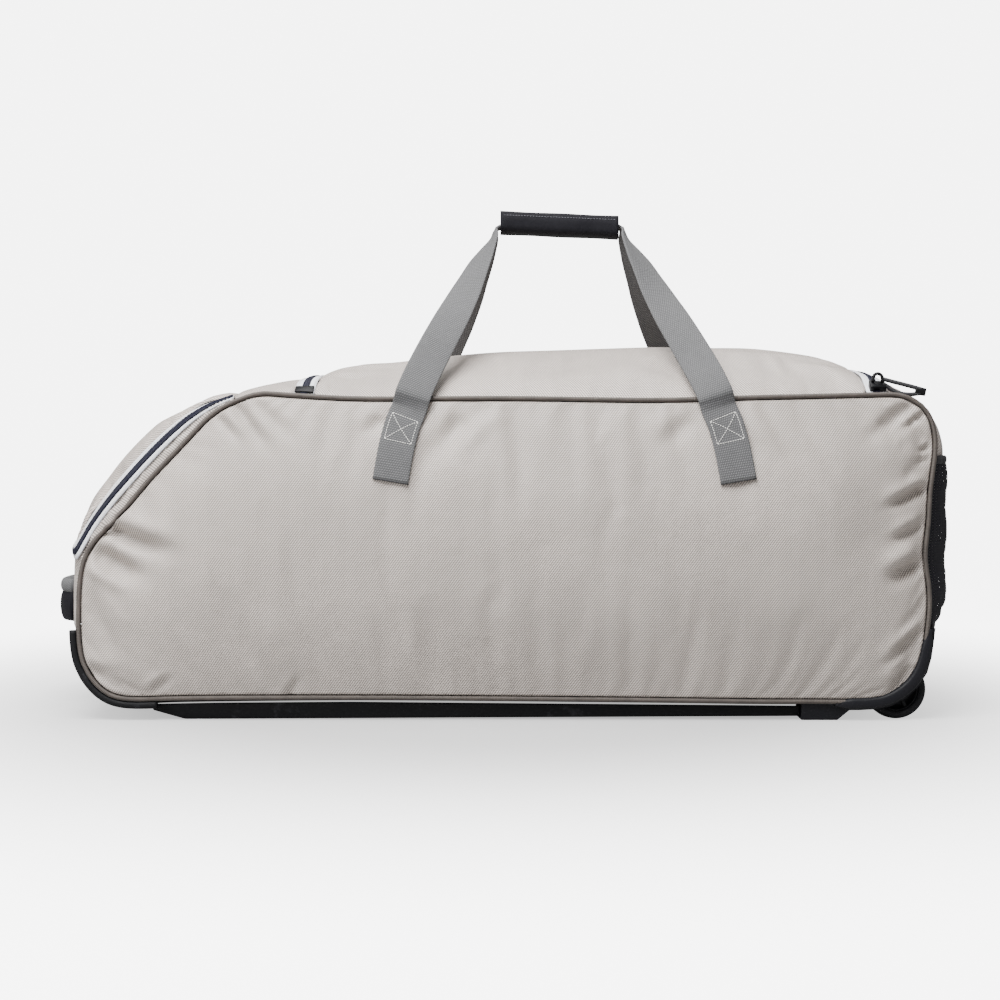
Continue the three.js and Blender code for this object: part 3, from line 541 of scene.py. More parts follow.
def corded(name, base, pitch, roughness=0.6):
    """Folded bias strip over a cord: fine ribs round it, and rubbed patches, paler and darker."""
    material, shader = finish_of(name, base, roughness, Sheen_Weight=0.06)
    place = add(material, "ShaderNodeUVMap", {"uv_map": "cloth"}).outputs["UV"]
    rib = add(material, "ShaderNodeTexWave", {"Scale": ribs(pitch), "Distortion": 0.4}, {"Vector": place})
    wear = add(material, "ShaderNodeTexNoise", {"Scale": 60, "Detail": 3}, {"Vector": place})
    ramp = add(
        material,
        "ShaderNodeMapRange",
        {"From Min": 0.25, "From Max": 0.75, "To Min": 0.75, "To Max": 1.3},
        {"Value": wear.outputs["Fac"]},
    )
    tone = add(
        material,
        "ShaderNodeVectorMath",
        {"operation": "SCALE", 0: linear(base)[:3]},
        {"Scale": ramp.outputs["Result"]},
    )
    material.node_tree.links.new(tone.outputs["Vector"], shader.inputs["Base Color"])
    relief = add(
        material, "ShaderNodeBump", {"Strength": 0.6, "Distance": 0.0004}, {"Height": rib.outputs["Fac"]}
    )
    material.node_tree.links.new(relief.outputs["Normal"], shader.inputs["Normal"])
    return material


bias_strip = corded("grey_brown_bias_strip", "423B36", 0.0016)
seam_depth = -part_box("piping_front")[0].y - 0.0028
piping_radius = 0.0025
for end, way in (("front", -1), ("back", 1)):
    rim = rim_of(bpy.data.objects[f"panel_{end}"])
    run = crossways(rim, closed=True)
    middle = rim.mean(0)
    out = np.column_stack([-run[:, 2], np.zeros(len(rim)), run[:, 0]])
    out *= np.sign(np.sum(out * (rim - middle), axis=1).sum())
    seam = rim + out * 0.0035
    seam[:, 1] = way * seam_depth
    if way < 0:
        seam_line = np.roll(seam, -np.argmin(np.abs(seam[:, 0]) + seam[:, 2]), axis=0)
    away = np.tile((0, way, 0), (len(rim), 1))
    cord_skin = carry(seam, out, away, round_section(10), 2 * piping_radius, 2 * piping_radius, closed=True)
    put(f"seam_piping_{end}", cord_skin, bias_strip, replaces=[f"piping_{end}"])

# Gusset cloth: the panels across the top, the ends and the bat nose, of the same polyester. They
# are sewn to the piping at both sides and to the zip tapes, and stand a little slack. The nose band
# is the same on both sides, so its far half is the near half turned over.


def along_seam(points):
    """How far along the seam line each point lies, from its place seen from the side."""
    line, flat = seam_line[:, [0, 2]], points[:, [0, 2]]
    count = len(line)
    step = np.roll(line, -1, 0) - line
    long = np.linalg.norm(step, axis=1)
    run = np.concatenate([[0], np.cumsum(long)])[:-1]
    tree = KDTree(count)
    for i, (x, z) in enumerate(line):
        tree.insert((x, z, 0), i)
    tree.balance()
    near = np.array([tree.find((x, z, 0))[1] for x, z in flat])
    found, best = np.zeros(len(flat)), np.full(len(flat), np.inf)
    for k in ((near - 1) % count, near):
        share = np.clip(((flat - line[k]) * step[k]).sum(1) / long[k] ** 2, 0, 1)
        gap = np.linalg.norm(line[k] + step[k] * share[:, None] - flat, axis=1)
        found = np.where(gap < best, run[k] + share * long[k], found)
        best = np.minimum(gap, best)
    return found


lid_folds = [
    (-196, -118, -96, -104, 7, 2.2),
    (-190, -96, -60, -84, 9, 2.4),
    (-180, -60, -90, -20, 11, 2.2),
    (-186, 96, -70, 70, 10, 2.4),
    (386, -104, 300, -84, 10, 2.6),
    (384, -66, 250, -52, 12, 2.4),
    (388, 92, 280, 66, 10, 2.6),
    (40, -128, 120, -96, 12, 1.8),
    (200, -130, 150, -100, 12, 1.8),
]
for name, node, inside, pressure, slack, cap in (
    ("top_gusset", "top_panel", (-0.23, 0, 0.15), 1.5, 0.02, 0.004),
    ("lid_dome", "lid", (0.1, 0, 0.15), 1.8, 0.014, 0.007),
    ("nose_cloth", "nose_band", (-0.2, 0, 0.15), 1.5, 0.03, 0.0016),
    ("nose_cover", "nose_flap", (-0.2, 0, 0.15), 1.5, 0.035, 0.006),
    ("wheel_end", "end_panel", (0.3, 0, 0.2), 1.5, 0.03, 0.006),
):
    shape = sheet_of(node, Vector(inside))
    if name == "nose_cloth":
        parts = list(shape.verts) + list(shape.edges) + list(shape.faces)
        bmesh.ops.bisect_plane(shape, geom=parts, plane_co=(0, 0, 0), plane_no=(0, 1, 0), clear_outer=True)
        parts = list(shape.verts) + list(shape.edges) + list(shape.faces)
        far_half = bmesh.ops.duplicate(shape, geom=parts)["geom"]
        far_verts = [g for g in far_half if isinstance(g, bmesh.types.BMVert)]
        bmesh.ops.scale(shape, vec=(1, -1, 1), verts=far_verts)
        bmesh.ops.reverse_faces(shape, faces=[g for g in far_half if isinstance(g, bmesh.types.BMFace)])
        bmesh.ops.remove_doubles(shape, verts=shape.verts, dist=1e-5)
    cloth = put(name, shape, polyester, replaces=[node])
    finer(cloth, 3)
    flat = points_of(cloth)
    lay_flat(cloth, along_seam(flat), flat[:, 1])
    stuff(cloth, pressure, slack, cap)
    if name == "lid_dome":
        fold(cloth, lid_folds, flat[:, 0], flat[:, 1], np.array((0, 0, 1)))
    wall = cloth.modifiers.new("cloth_wall", "SOLIDIFY")
    wall.thickness = 0.0016
    wall.offset = -1


# Nose and lid zips: white woven tapes sewn into a U, with a dark navy coil closed along their
# middle and a line of stitches at each edge.


def rings_of(node, hint):
    """The sections of a CAD strip, in order from the end nearest the hint: centre, side, face, width."""
    strip = bmesh.new()
    strip.from_mesh(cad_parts[node].data)
    bmesh.ops.remove_doubles(strip, verts=strip.verts, dist=1e-5)
    ring = sorted(strip.verts, key=lambda v: (v.co - Vector(hint)).length)[:4]
    seen, rows = set(ring), []
    while len(ring) == 4:
        centre = sum((v.co for v in ring), Vector()) / 4
        mate, rest, far = sorted(ring[1:], key=lambda v: (v.co - ring[0].co).length)
        if (far.co - rest.co).dot(mate.co - ring[0].co) < 0:
            rest, far = far, rest
        across = (rest.co + far.co - ring[0].co - mate.co) / 2
        thick = (far.co + mate.co - ring[0].co - rest.co) / 2
        if across.length < thick.length:
            across, thick = thick, across
        if rows and across.dot(Vector(rows[-1][3:6])) < 0:
            across = -across
        if rows and thick.dot(Vector(rows[-1][6:9])) < 0:
            thick = -thick
        rows.append([*centre, *across, *thick])
        ring = list({o for v in ring for e in v.link_edges for o in [e.other_vert(v)]} - seen)
        seen.update(ring)
    strip.free()
    return np.array(rows)


def unit(rows):
    return rows / np.linalg.norm(rows, axis=1, keepdims=True)


def stitch(path, away, pitch, long, name, material, body="bag", thick=0.0009):
    """A row of stitches on a path, each a small raised grain of thread."""
    path = np.asarray(path, float)
    run = np.concatenate([[0], np.cumsum(np.linalg.norm(np.diff(path, axis=0), axis=1))])
    seams = bmesh.new()
    count = max(1, int(run[-1] / pitch))
    for k in range(count):
        a, b = (run[-1] * (k + 0.5) / count + half * long / 2 for half in (-1, 1))
        p, q = (np.array([np.interp(x, run, path[:, i]) for i in range(3)]) for x in (a, b))
        n = np.array([np.interp((a + b) / 2, run, np.broadcast_to(away, path.shape)[:, i]) for i in range(3)])
        along = Vector(q - p).normalized()
        up = Vector(n).normalized()
        side = along.cross(up).normalized()
        up = side.cross(along)
        turn = Matrix((along, side, up)).transposed().to_4x4()
        size = Matrix.Diagonal((long / 2, thick / 2, thick / 2.4, 1))
        grain = Matrix.Translation(Vector((p + q) / 2)) @ turn @ size
        bmesh.ops.create_uvsphere(seams, u_segments=6, v_segments=4, radius=1, matrix=grain)
    return put(name, seams, material, body=body)


zip_white, zip_shader = finish_of("woven_white_zip_tape", "E0E1E6", 0.75, Sheen_Weight=0.08)
tape_uv = add(zip_white, "ShaderNodeUVMap", {"uv_map": "cloth"}).outputs["UV"]
tape_rib = add(zip_white, "ShaderNodeTexWave", {"Scale": ribs(0.0012), "Distortion": 1}, {"Vector": tape_uv})
tape_bump = add(
    zip_white, "ShaderNodeBump", {"Strength": 0.5, "Distance": 0.0003}, {"Height": tape_rib.outputs["Fac"]},
)
zip_white.node_tree.links.new(tape_bump.outputs["Normal"], zip_shader.inputs["Normal"])
tape_dust = add(zip_white, "ShaderNodeTexNoise", {"Scale": 40, "Detail": 4}, {"Vector": tape_uv})
tape_tone = add(
    zip_white, "ShaderNodeMapRange", {"To Min": 0.86, "To Max": 1.08}, {"Value": tape_dust.outputs["Fac"]},
)
tape_white = add(
    zip_white,
    "ShaderNodeVectorMath",
    {"operation": "SCALE", 0: linear("E0E1E6")[:3]},
    {"Scale": tape_tone.outputs["Result"]},
)
zip_white.node_tree.links.new(tape_white.outputs["Vector"], zip_shader.inputs["Base Color"])

coil_navy, coil_shader = finish_of("moulded_navy_zip_coil", "0D0E20", 0.42, Specular_IOR_Level=0.18)
coil_uv = add(coil_navy, "ShaderNodeUVMap", {"uv_map": "cloth"}).outputs["UV"]
coil_turn = add(coil_navy, "ShaderNodeTexWave", {"Scale": ribs(0.0016), "Distortion": 0.2}, {"Vector": coil_uv})
coil_bump = add(
    coil_navy, "ShaderNodeBump", {"Strength": 0.8, "Distance": 0.0006}, {"Height": coil_turn.outputs["Fac"]},
)
coil_navy.node_tree.links.new(coil_bump.outputs["Normal"], coil_shader.inputs["Normal"])

seam_thread, _ = finish_of("white_polyester_thread", "E9E7E2", 0.6, Sheen_Weight=0.3)
tape_section = [(-1, -1), (-1, 1), (-0.5, 1), (-0.34, 1.15), (0.34, 1.15), (0.5, 1), (1, 1), (1, -1)]
coil_section = [(-1, -0.6), (-0.8, 0.6), (-0.12, 0.95), (0, 0.5), (0.12, 0.95), (0.8, 0.6), (1, -0.6)]
for name, node, hint, band, spread in (
    ("nose_zip", "nose_zip", (0.2, -0.15, 0.57), 0.0078, 1.14),
    ("lid_zip", "lid_zip", (-0.19, -0.66, 0.35), 0.0085, 1.06),
):
    rows = rings_of(node, hint)
    straight = (np.abs(rows[2:, 1] - rows[:-2, 1]) < 0.004)[:, None]
    for _ in range(2):
        rows[1:-1] = np.where(straight, rows[1:-1] / 2 + (rows[:-2] + rows[2:]) / 4, rows[1:-1])
    rows = glide(rows, 6)
    path, across, up = rows[:, :3].copy(), unit(rows[:, 3:6]), unit(rows[:, 6:9])
    if np.sum(up * (path - np.array((0, 0, 0.15)))) < 0:
        up = -up
    path += up * 0.0012
    width = np.linalg.norm(rows[:, 3:6], axis=1) * spread
    put(
        f"{name}_tape",
        carry(path, across, up, tape_section, width, 0.0022),
        zip_white,
        replaces=[node],
    )
    put(
        f"{name}_coil",
        carry(path + up * 0.0018, across, up, coil_section, band, 0.0026),
        coil_navy,
    )
    for side, word in ((-1, "outer"), (1, "inner")):
        line = path + across * side * (width / 2 - 0.002)[:, None] + up * 0.0014
        stitch(line, up, 0.0042, 0.003, f"{name}_{word}_stitches", seam_thread)

# Mesh pocket: open black mesh sewn into the piping at both sides of the wheel end, gathered on a
# black binding at its top and at its foot. Its holes are wider than the real ones, so they show.
mesh_net, net_shader = finish_of("black_open_mesh", "131218", 0.7, Specular_IOR_Level=0.3)
net_uv = add(mesh_net, "ShaderNodeUVMap", {"uv_map": "cloth"}).outputs["UV"]
net_cell = add(
    mesh_net,
    "ShaderNodeTexVoronoi",
    {"feature": "F1", "Scale": 1 / 0.0032, "Randomness": 0.1},
    {"Vector": net_uv},
)
net_hole = add(
    mesh_net, "ShaderNodeMath", {"operation": "GREATER_THAN", 1: 0.18}, {0: net_cell.outputs["Distance"]},
)
mesh_net.node_tree.links.new(net_hole.outputs["Value"], net_shader.inputs["Alpha"])
net_bump = add(
    mesh_net, "ShaderNodeBump", {"Strength": 0.6, "Distance": 0.0006}, {"Height": net_cell.outputs["Distance"]},
)
mesh_net.node_tree.links.new(net_bump.outputs["Normal"], net_shader.inputs["Normal"])
net = bmesh.new()
net.from_mesh(bpy.data.objects["wheel_end"].data)
net_foot, net_top = 0.1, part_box("mesh_pocket")[1].z
for height, up in ((net_top, 1), (net_foot, -1)):
    parts = list(net.verts) + list(net.edges) + list(net.faces)
    bmesh.ops.bisect_plane(net, geom=parts, plane_co=(0, 0, height), plane_no=(0, 0, up), clear_outer=True)
half = max(abs(v.co.y) for v in net.verts)
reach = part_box("mesh_pocket")[1].x - 0.001
for vert in net.verts:
    rise = (vert.co.z - net_foot) / (net_top - net_foot)
    belly = (1 - (abs(vert.co.y) / half) ** 7) * (1 - (2 * rise - 1) ** 4) ** 0.7
    gather = 0.0012 * math.sin(vert.co.y * 190) * rise**3
    vert.co.x = min(vert.co.x + 0.0015 + 0.017 * max(belly, 0) + gather, max(reach, vert.co.x + 0.0012))
pocket = put("mesh_pocket_net", net, mesh_net, replaces=["mesh_pocket"])
pocket_rim = rim_of(pocket)
pocket_wall = pocket.modifiers.new("cloth_wall", "SOLIDIFY")
pocket_wall.thickness = 0.0008
pocket_wall.offset = -1

black_tape = corded("black_binding_tape", "121216", 0.0014, 0.7)
for word, level in (("top", net_top), ("foot", net_foot)):
    line = pocket_rim[np.abs(pocket_rim[:, 2] - level) < 0.0004]
    line = line[np.argsort(line[:, 1])]
    line = line[np.concatenate([[True], np.diff(line[:, 1]) > 0.0008])]
    facing = np.tile((1, 0, 0.1), (len(line), 1))
    up = np.tile((0, 0, 1), (len(line), 1))
    put(
        f"pocket_{word}_binding",
        carry(line + (0.0012, 0, 0), up, facing, round_section(8), 0.009, 0.0036),
        black_tape,
    )

# Base: coated black cloth with a pebbled face, carried up round the toe and, between the wheels,
# up the heel. It takes the knocks, so it is scuffed grey in patches.


def scuffed(name, base, roughness, grain, wear="333337"):
    """Pebbled black plastic or coated cloth: a fine grain, and paler scuffs where it rubs."""
    material, shader = finish_of(name, base, roughness, Specular_IOR_Level=0.16)
    place = add(material, "ShaderNodeTexCoord").outputs["Object"]
    pebble = add(material, "ShaderNodeTexVoronoi", {"Scale": 1 / grain}, {"Vector": place})
    rub = add(material, "ShaderNodeTexNoise", {"Scale": 38, "Detail": 6, "Roughness": 0.7}, {"Vector": place})
    patch = add(
        material, "ShaderNodeMapRange", {"From Min": 0.58, "From Max": 0.8}, {"Value": rub.outputs["Fac"]},
    )
    mixed = add(material, "ShaderNodeMix", {"data_type": "RGBA"})
    mixed.inputs[6].default_value = linear(base)
    mixed.inputs[7].default_value = linear(wear)
    material.node_tree.links.new(patch.outputs["Result"], mixed.inputs[0])
    material.node_tree.links.new(mixed.outputs[2], shader.inputs["Base Color"])
    dull = add(
        material,
        "ShaderNodeMapRange",
        {"To Min": roughness - 0.06, "To Max": roughness + 0.2},
        {"Value": rub.outputs["Fac"]},
    )
    material.node_tree.links.new(dull.outputs["Result"], shader.inputs["Roughness"])
    relief = add(
        material,
        "ShaderNodeBump",
        {"Strength": 0.4, "Distance": 0.0003},
        {"Height": pebble.outputs["Distance"]},
    )
    material.node_tree.links.new(relief.outputs["Normal"], shader.inputs["Normal"])
    return material


coated_black = scuffed("coated_black_base_cloth", "0F0F11", 0.55, 0.0016)
for name, node, inside in (
    ("base_cloth", "base_tray", (-0.1, 0, 0.2)), ("heel_cloth", "heel_panel", (0.3, 0, 0.2)),
):
    cloth = put(name, sheet_of(node, Vector(inside)), coated_black, replaces=[node])
    finer(cloth, 2)
    wall = cloth.modifiers.new("cloth_wall", "SOLIDIFY")
    wall.thickness = 0.0018
    wall.offset = -1


# Toe edge: a moulded black strip over the edge of the base cloth, just outside the piping, from a
# square end half way up the toe to the front of the runners.
for end, way in (("front", -1), ("back", 1)):
    on_toe = (seam_line[:, 0] < -0.352) & (seam_line[:, 2] < 0.098)
    line = seam_line[on_toe][np.argsort(along_seam(seam_line[on_toe]))]
    run = crossways(line)
    out = np.column_stack([-run[:, 2], np.zeros(len(line)), run[:, 0]])
    out *= np.sign(np.sum(out * (line - np.array((-0.2, 0, 0.2)))))
    line = line + out * 0.0066
    line[:, 1] = way * (seam_depth - 0.0035)
    facing = np.tile((0, way, 0), (len(line), 1))
    edge = [(-1, -1), (-1, 0.5), (-0.7, 0.9), (0, 1), (0.7, 0.9), (1, 0.4), (1, -1)]
    put(f"toe_edge_{end}", carry(line, out, facing, edge, 0.0078, 0.011), coated_black)


def eased(name, node, material, width, body="bag", segments=2, angle=35):
    """A copy of a moulded CAD part with its sharp edges rounded over."""
    shape = bmesh.new()
    shape.from_mesh(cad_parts[node].data)
    bmesh.ops.remove_doubles(shape, verts=shape.verts, dist=1e-5)
    bmesh.ops.dissolve_limit(shape, angle_limit=math.radians(1), verts=shape.verts, edges=shape.edges)
    piece = put(name, shape, material, body=body, replaces=[node])
    bevel = piece.modifiers.new("rounded_edges", "BEVEL")
    bevel.width = width
    bevel.segments = segments
    bevel.limit_method = "ANGLE"
    bevel.angle_limit = math.radians(angle)
    bevel.harden_normals = True
    return piece


# Runners: two moulded skids under the base, matt black, with worn undersides.
skid_rubber = scuffed("moulded_black_skid", "0F0F11", 0.5, 0.001)
for end in ("front", "back"):
    eased(f"skid_{end}", f"runner_{end}", skid_rubber, 0.0018)

# Wheel housings: corners of dark grey moulded plastic with a guard band, a foot and a wheel well.
# A rounded lip along the guard covers the end of the piping.
moulded_grey = scuffed("moulded_grey_polypropylene", "16161A", 0.4, 0.0012, "38383D")
for end, way in (("front", -1), ("back", 1)):
    eased(f"corner_guard_{end}", f"wheel_housing_{end}", moulded_grey, 0.001)
    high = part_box(f"wheel_housing_{end}")[1]
    on_guard = (seam_line[:, 0] > 0.364) & (seam_line[:, 2] < high.z - 0.002)
    order = np.argsort(along_seam(seam_line[on_guard]))
    line = seam_line[on_guard][order]
    line[:, 1] = way * seam_depth
    run = crossways(line)
    out = np.column_stack([-run[:, 2], np.zeros(len(line)), run[:, 0]])
    out *= np.sign(np.sum(out * (line - np.array((0.3, 0, 0.2)))))
    facing = np.tile((0, way, 0), (len(line), 1))
    ends = np.minimum(np.arange(len(line)), np.arange(len(line))[::-1]) / 6
    taper = np.clip(ends, 0.25, 1) ** 0.5
    lip = [(-1, -0.6), (-0.86, 0.35), (-0.45, 0.9), (0, 0.72), (0.5, 1), (0.9, 0.5), (1, -0.6)]
    put(
        f"guard_lip_{end}",
        carry(line + out * 0.0022, out, facing, lip, 0.0135 * taper, 0.0092 * taper),
        moulded_grey,
    )

# Wheels: a grey rubber tyre on a moulded six-spoke hub, turning on a steel pin with a pressed cap.
tyre_rubber = scuffed("moulded_grey_tyre_rubber", "161619", 0.55, 0.0014, "2E2E33")
hub_plastic = scuffed("moulded_black_hub", "121215", 0.4, 0.001)
pin_steel, pin_shader = finish_of("turned_bright_steel", "A8A8AA", 0.3, Metallic=1)
pin_grain = add(
    pin_steel,
    "ShaderNodeTexNoise",
    {"Scale": 900, "Detail": 2},
    {"Vector": add(pin_steel, "ShaderNodeTexCoord").outputs["Object"]},
)
pin_gloss = add(
    pin_steel, "ShaderNodeMapRange", {"To Min": 0.22, "To Max": 0.42}, {"Value": pin_grain.outputs["Fac"]},
)
pin_steel.node_tree.links.new(pin_gloss.outputs["Result"], pin_shader.inputs["Roughness"])


def spun(profile, centre, steps):
    """A profile of (radius, place along the axle) turned round the axle into a closed ring."""
    ring = bmesh.new()
    verts = [ring.verts.new((r + centre.x, y + centre.y, centre.z)) for r, y in profile]
    edges = [ring.edges.new((verts[k - 1], verts[k])) for k in range(len(verts))]
    bmesh.ops.spin(
        ring, geom=verts + edges, cent=centre, axis=(0, 1, 0), angle=2 * math.pi, steps=steps, use_merge=True,
    )
    bmesh.ops.remove_doubles(ring, verts=ring.verts, dist=1e-6)
    bmesh.ops.recalc_face_normals(ring, faces=ring.faces)
    return ring


for end, way in (("front", -1), ("back", 1)):
    body = f"wheel_{end}"
    low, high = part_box(body)
    centre = (low + high) / 2
    half = (high.y - low.y) / 2
    tread = [
        (0.0235, -half * 0.94),
        (0.0268, -half),
        (0.0295, -half * 0.96),
        (0.0315, -half * 0.74),
        (0.032, -half * 0.4),
    ]
    tread += [(0.0312, -half * 0.36), (0.0312, -half * 0.28), (0.032, -half * 0.24)]
    tyre = tread + [(r, -y) for r, y in reversed(tread)]
    put(f"tyre_{end}", spun(tyre, centre, 72), tyre_rubber, body=body, replaces=[body])
    hub = [(0.0048, -half * 0.86), (0.0095, -half * 0.86), (0.0105, -half * 0.78), (0.0112, -half * 0.45)]
    hub += [(0.0205, -half * 0.45), (0.0212, -half * 0.8), (0.0232, -half * 0.88)]
    put(
        f"hub_{end}",
        spun(hub + [(r, -y) for r, y in reversed(hub)], centre, 60),
        hub_plastic,
        body=body,
    )
    spokes = bmesh.new()
    for k in range(6):
        turn = Matrix.Translation(centre) @ Matrix.Rotation(math.radians(60 * k), 4, "Y")
        size = Matrix.Diagonal((0.0105, half * 1.56, 0.0036, 1))
        bmesh.ops.create_cube(spokes, size=1, matrix=turn @ Matrix.Translation((0.0159, 0, 0)) @ size)
    bmesh.ops.bevel(
        spokes, geom=list(spokes.edges), affect="EDGES", offset=0.0006, segments=2, profile=0.5, material=-1,
    )
    put(f"spokes_{end}", spokes, hub_plastic, body=body)
    pin_low, pin_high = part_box(f"axle_{end}")
    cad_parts[f"axle_{end}"].data.materials.clear()
    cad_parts[f"axle_{end}"].data.materials.append(pin_steel)
    outer_face = pin_low.y if way < 0 else pin_high.y
    cap = [(0.0, 0.0004), (0.0, -0.0012), (0.0034, -0.0011), (0.0046, -0.0006), (0.0048, 0.0004)]
    cap_at = Vector((centre.x, outer_face, centre.z))
    put(
        f"pin_cap_{end}",
        spun([(r + 1e-5, y if way < 0 else -y) for r, y in cap], cap_at, 32),
        pin_steel,
    )

# Carrying handles: one length of grey ribbed webbing on each side, lying on the swollen panel and
# sewn to it with a boxed cross at each foot, then rising and rolling on edge into the grip. Each cut
# end is melted to a dark hem.


def webbing(name, base):
    """Polypropylene webbing: flat ribs across, a finer twill of yarns along, painted shade in the grooves
    between them, and fuzzy dull light.
    """
    material, shader = finish_of(name, base, 0.75, Sheen_Weight=0.08, Specular_IOR_Level=0.3)
    place = add(material, "ShaderNodeUVMap", {"uv_map": "cloth"}).outputs["UV"]
    rib = add(
        material,
        "ShaderNodeTexWave",
        {"Scale": ribs(0.0025), "Distortion": 0.5, "Detail": 1},
        {"Vector": place},
    )
    turned = add(material, "ShaderNodeMapping", {"Rotation": (0, 0, math.radians(68))}, {"Vector": place})
    yarn = add(
        material,
        "ShaderNodeTexWave",
        {"Scale": ribs(0.0019), "Distortion": 0.8},
        {"Vector": turned.outputs["Vector"]},
    )
    knit = add(
        material, "ShaderNodeMath", {"operation": "MULTIPLY"}, {0: rib.outputs["Fac"], 1: yarn.outputs["Fac"]},
    )
    fuzz = add(material, "ShaderNodeTexNoise", {"Scale": 120, "Detail": 4}, {"Vector": place})
    # Painted shade: the colour falls to half in the grooves of the ribs and the twill.
    tone = add(
        material,
        "ShaderNodeMapRange",
        {"From Max": 0.8, "To Min": 0.5, "To Max": 1.15},
        {"Value": knit.outputs["Value"]},
    )
    lint = add(material, "ShaderNodeMapRange", {"To Min": 0.86, "To Max": 1.12}, {"Value": fuzz.outputs["Fac"]})
    both = add(
        material,
        "ShaderNodeMath",
        {"operation": "MULTIPLY"},
        {0: tone.outputs["Result"], 1: lint.outputs["Result"]},
    )
    grey = add(
        material,
        "ShaderNodeVectorMath",
        {"operation": "SCALE", 0: linear(base)[:3]},
        {"Scale": both.outputs["Value"]},
    )
    material.node_tree.links.new(grey.outputs["Vector"], shader.inputs["Base Color"])
    relief = add(
        material, "ShaderNodeBump", {"Strength": 0.7, "Distance": 0.0005}, {"Height": knit.outputs["Value"]},
    )
    material.node_tree.links.new(relief.outputs["Normal"], shader.inputs["Normal"])
    return material


grey_webbing = webbing("ribbed_grey_webbing", "626263")
hem_webbing = webbing("melted_webbing_edge", "3C3C3D")
strap_section = [
    (-1, 0), (-0.97, 0.75), (-0.9, 1), (-0.45, 0.94), (0, 0.98), (0.45, 0.94), (0.9, 1), (0.97, 0.75),
]
strap_section += [(-a, -b) for a, b in strap_section]
box_start, box_end, box_side = 0.044, 0.072, 0.76
for end, way in (("front", -1), ("back", 1)):
    low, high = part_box(f"handle_{end}")
    rows = rings_of(f"handle_{end}", (low.x - 0.1, way * 0.18, low.z - 0.5))
    rows = glide(rows, 4)
    path, across, face = rows[:, :3].copy(), unit(rows[:, 3:6]), unit(rows[:, 6:9])
    width, thick = np.linalg.norm(rows[:, 3:6], axis=1), np.linalg.norm(rows[:, 6:9], axis=1)
    thick = np.maximum(thick * 0.95, 0.0019)
    shell = BVHTree.FromObject(bpy.data.objects[f"panel_{end}"], bpy.context.evaluated_depsgraph_get())
    proud = np.zeros(len(path))
    for k, point in enumerate(path):
        for share in (-0.5, -0.25, 0, 0.25, 0.5):
            probe = point + across[k] * width[k] * share
            hit = shell.ray_cast(Vector((probe[0], way * 0.4, probe[2])), Vector((0, -way, 0)))[0]
            if hit:
                proud[k] = max(proud[k], way * (hit.y - point[1]) + thick[k] / 2 + 0.0004)
    proud = np.array([max(proud[max(k - 2, 0) : k + 3]) for k in range(len(proud))])
    proud = np.convolve(np.pad(proud, 3, mode="edge"), np.ones(7) / 7, mode="valid")
    path[:, 1] += way * proud
    put(
        f"carry_strap_{end}",
        carry(path, across, face, strap_section, width, thick),
        grey_webbing,
        replaces=[f"handle_{end}"],
    )
    for foot, order in (("left", slice(None)), ("right", slice(None, None, -1))):
        p, a, w = path[order], across[order], width[order]
        run = np.concatenate([[0], np.cumsum(np.linalg.norm(np.diff(p, axis=0), axis=1))])
        away = np.array((0, way, 0))

        def spot(far, off):
            line = p + a * off * w[:, None] / 2
            return np.array([np.interp(far, run, line[:, i]) for i in range(3)])

        corners = [(box_start, -box_side), (box_start, box_side), (box_end, box_side), (box_end, -box_side)]
        rows_sewn = [(corners[k - 1], corners[k]) for k in range(4)] + [
            (corners[0], corners[2]), (corners[1], corners[3]),
        ]
        for k, (q, r) in enumerate(rows_sewn):
            sewn = np.array([spot(*(np.array(q) + (np.array(r) - q) * t)) for t in np.linspace(0, 1, 9)])
            stitch(
                sewn + away * 0.0014,
                away,
                0.0026,
                0.0021,
                f"foot_stitch_{end}_{foot}_{k}",
                seam_thread,
                thick=0.0008,
            )
        cut = np.array([spot(0.0012, off) for off in np.linspace(-0.99, 0.99, 9)]) + away * 0.0004
        up = np.tile((0, 0, 1), (9, 1))
        put(
            f"foot_hem_{end}_{foot}",
            carry(cut, up, np.tile(away, (9, 1)), round_section(8), 0.0024, 0.0034),
            hem_webbing,
        )

# Grip: a padded wrap of nearly black nylon closed round both straps, its flap lapped over the top
# and stitched along the hem.
# Its second colour is painted shade in the gaps of the weave.
charcoal = weave(
    "woven_charcoal_nylon", "17161C", "0D0D11", 0.6, 0.0012, Sheen_Weight=0.02, Specular_IOR_Level=0.14,
)
low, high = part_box("grip_wrap")
length = high.x - low.x
grip_rows = np.linspace(0, 1, 41)
centre = (low + high) / 2
path = np.column_stack([low.x + grip_rows * length, np.full(41, centre.y), centre.z + 0.0028 - grip_rows * 0.0056])
slump = 1 - 0.03 * np.sin(grip_rows * 6) ** 2
grip_section = []
for k in range(40):
    turn = 2 * math.pi * k / 40
    step = 0.07 if 0.15 * math.pi < turn < 0.78 * math.pi else 0
    a, b = math.cos(turn), math.sin(turn)
    square = (abs(a) ** 3.2 + abs(b) ** 3.2) ** (-1 / 3.2)
    grip_section.append((a * square * (0.93 + step), b * square * (0.93 + step)))
side, up = np.tile((0, 1, 0), (41, 1)), np.tile((0, 0, 1), (41, 1))
grip = put(
    "padded_grip",
    carry(path, side, up, grip_section, (high.y - low.y) * slump, (high.z - low.z - 0.0045) * slump),
    charcoal,
    replaces=["grip_wrap"],
)
hem = [path[k] + np.array((0, -0.0175, 0.0078)) for k in range(1, 40)]
charcoal_thread, _ = finish_of("charcoal_thread", "45444E", 0.6, Sheen_Weight=0.3)
stitch(hem, (0, -1, 0.4), 0.0032, 0.0024, "grip_hem_stitches", charcoal_thread)

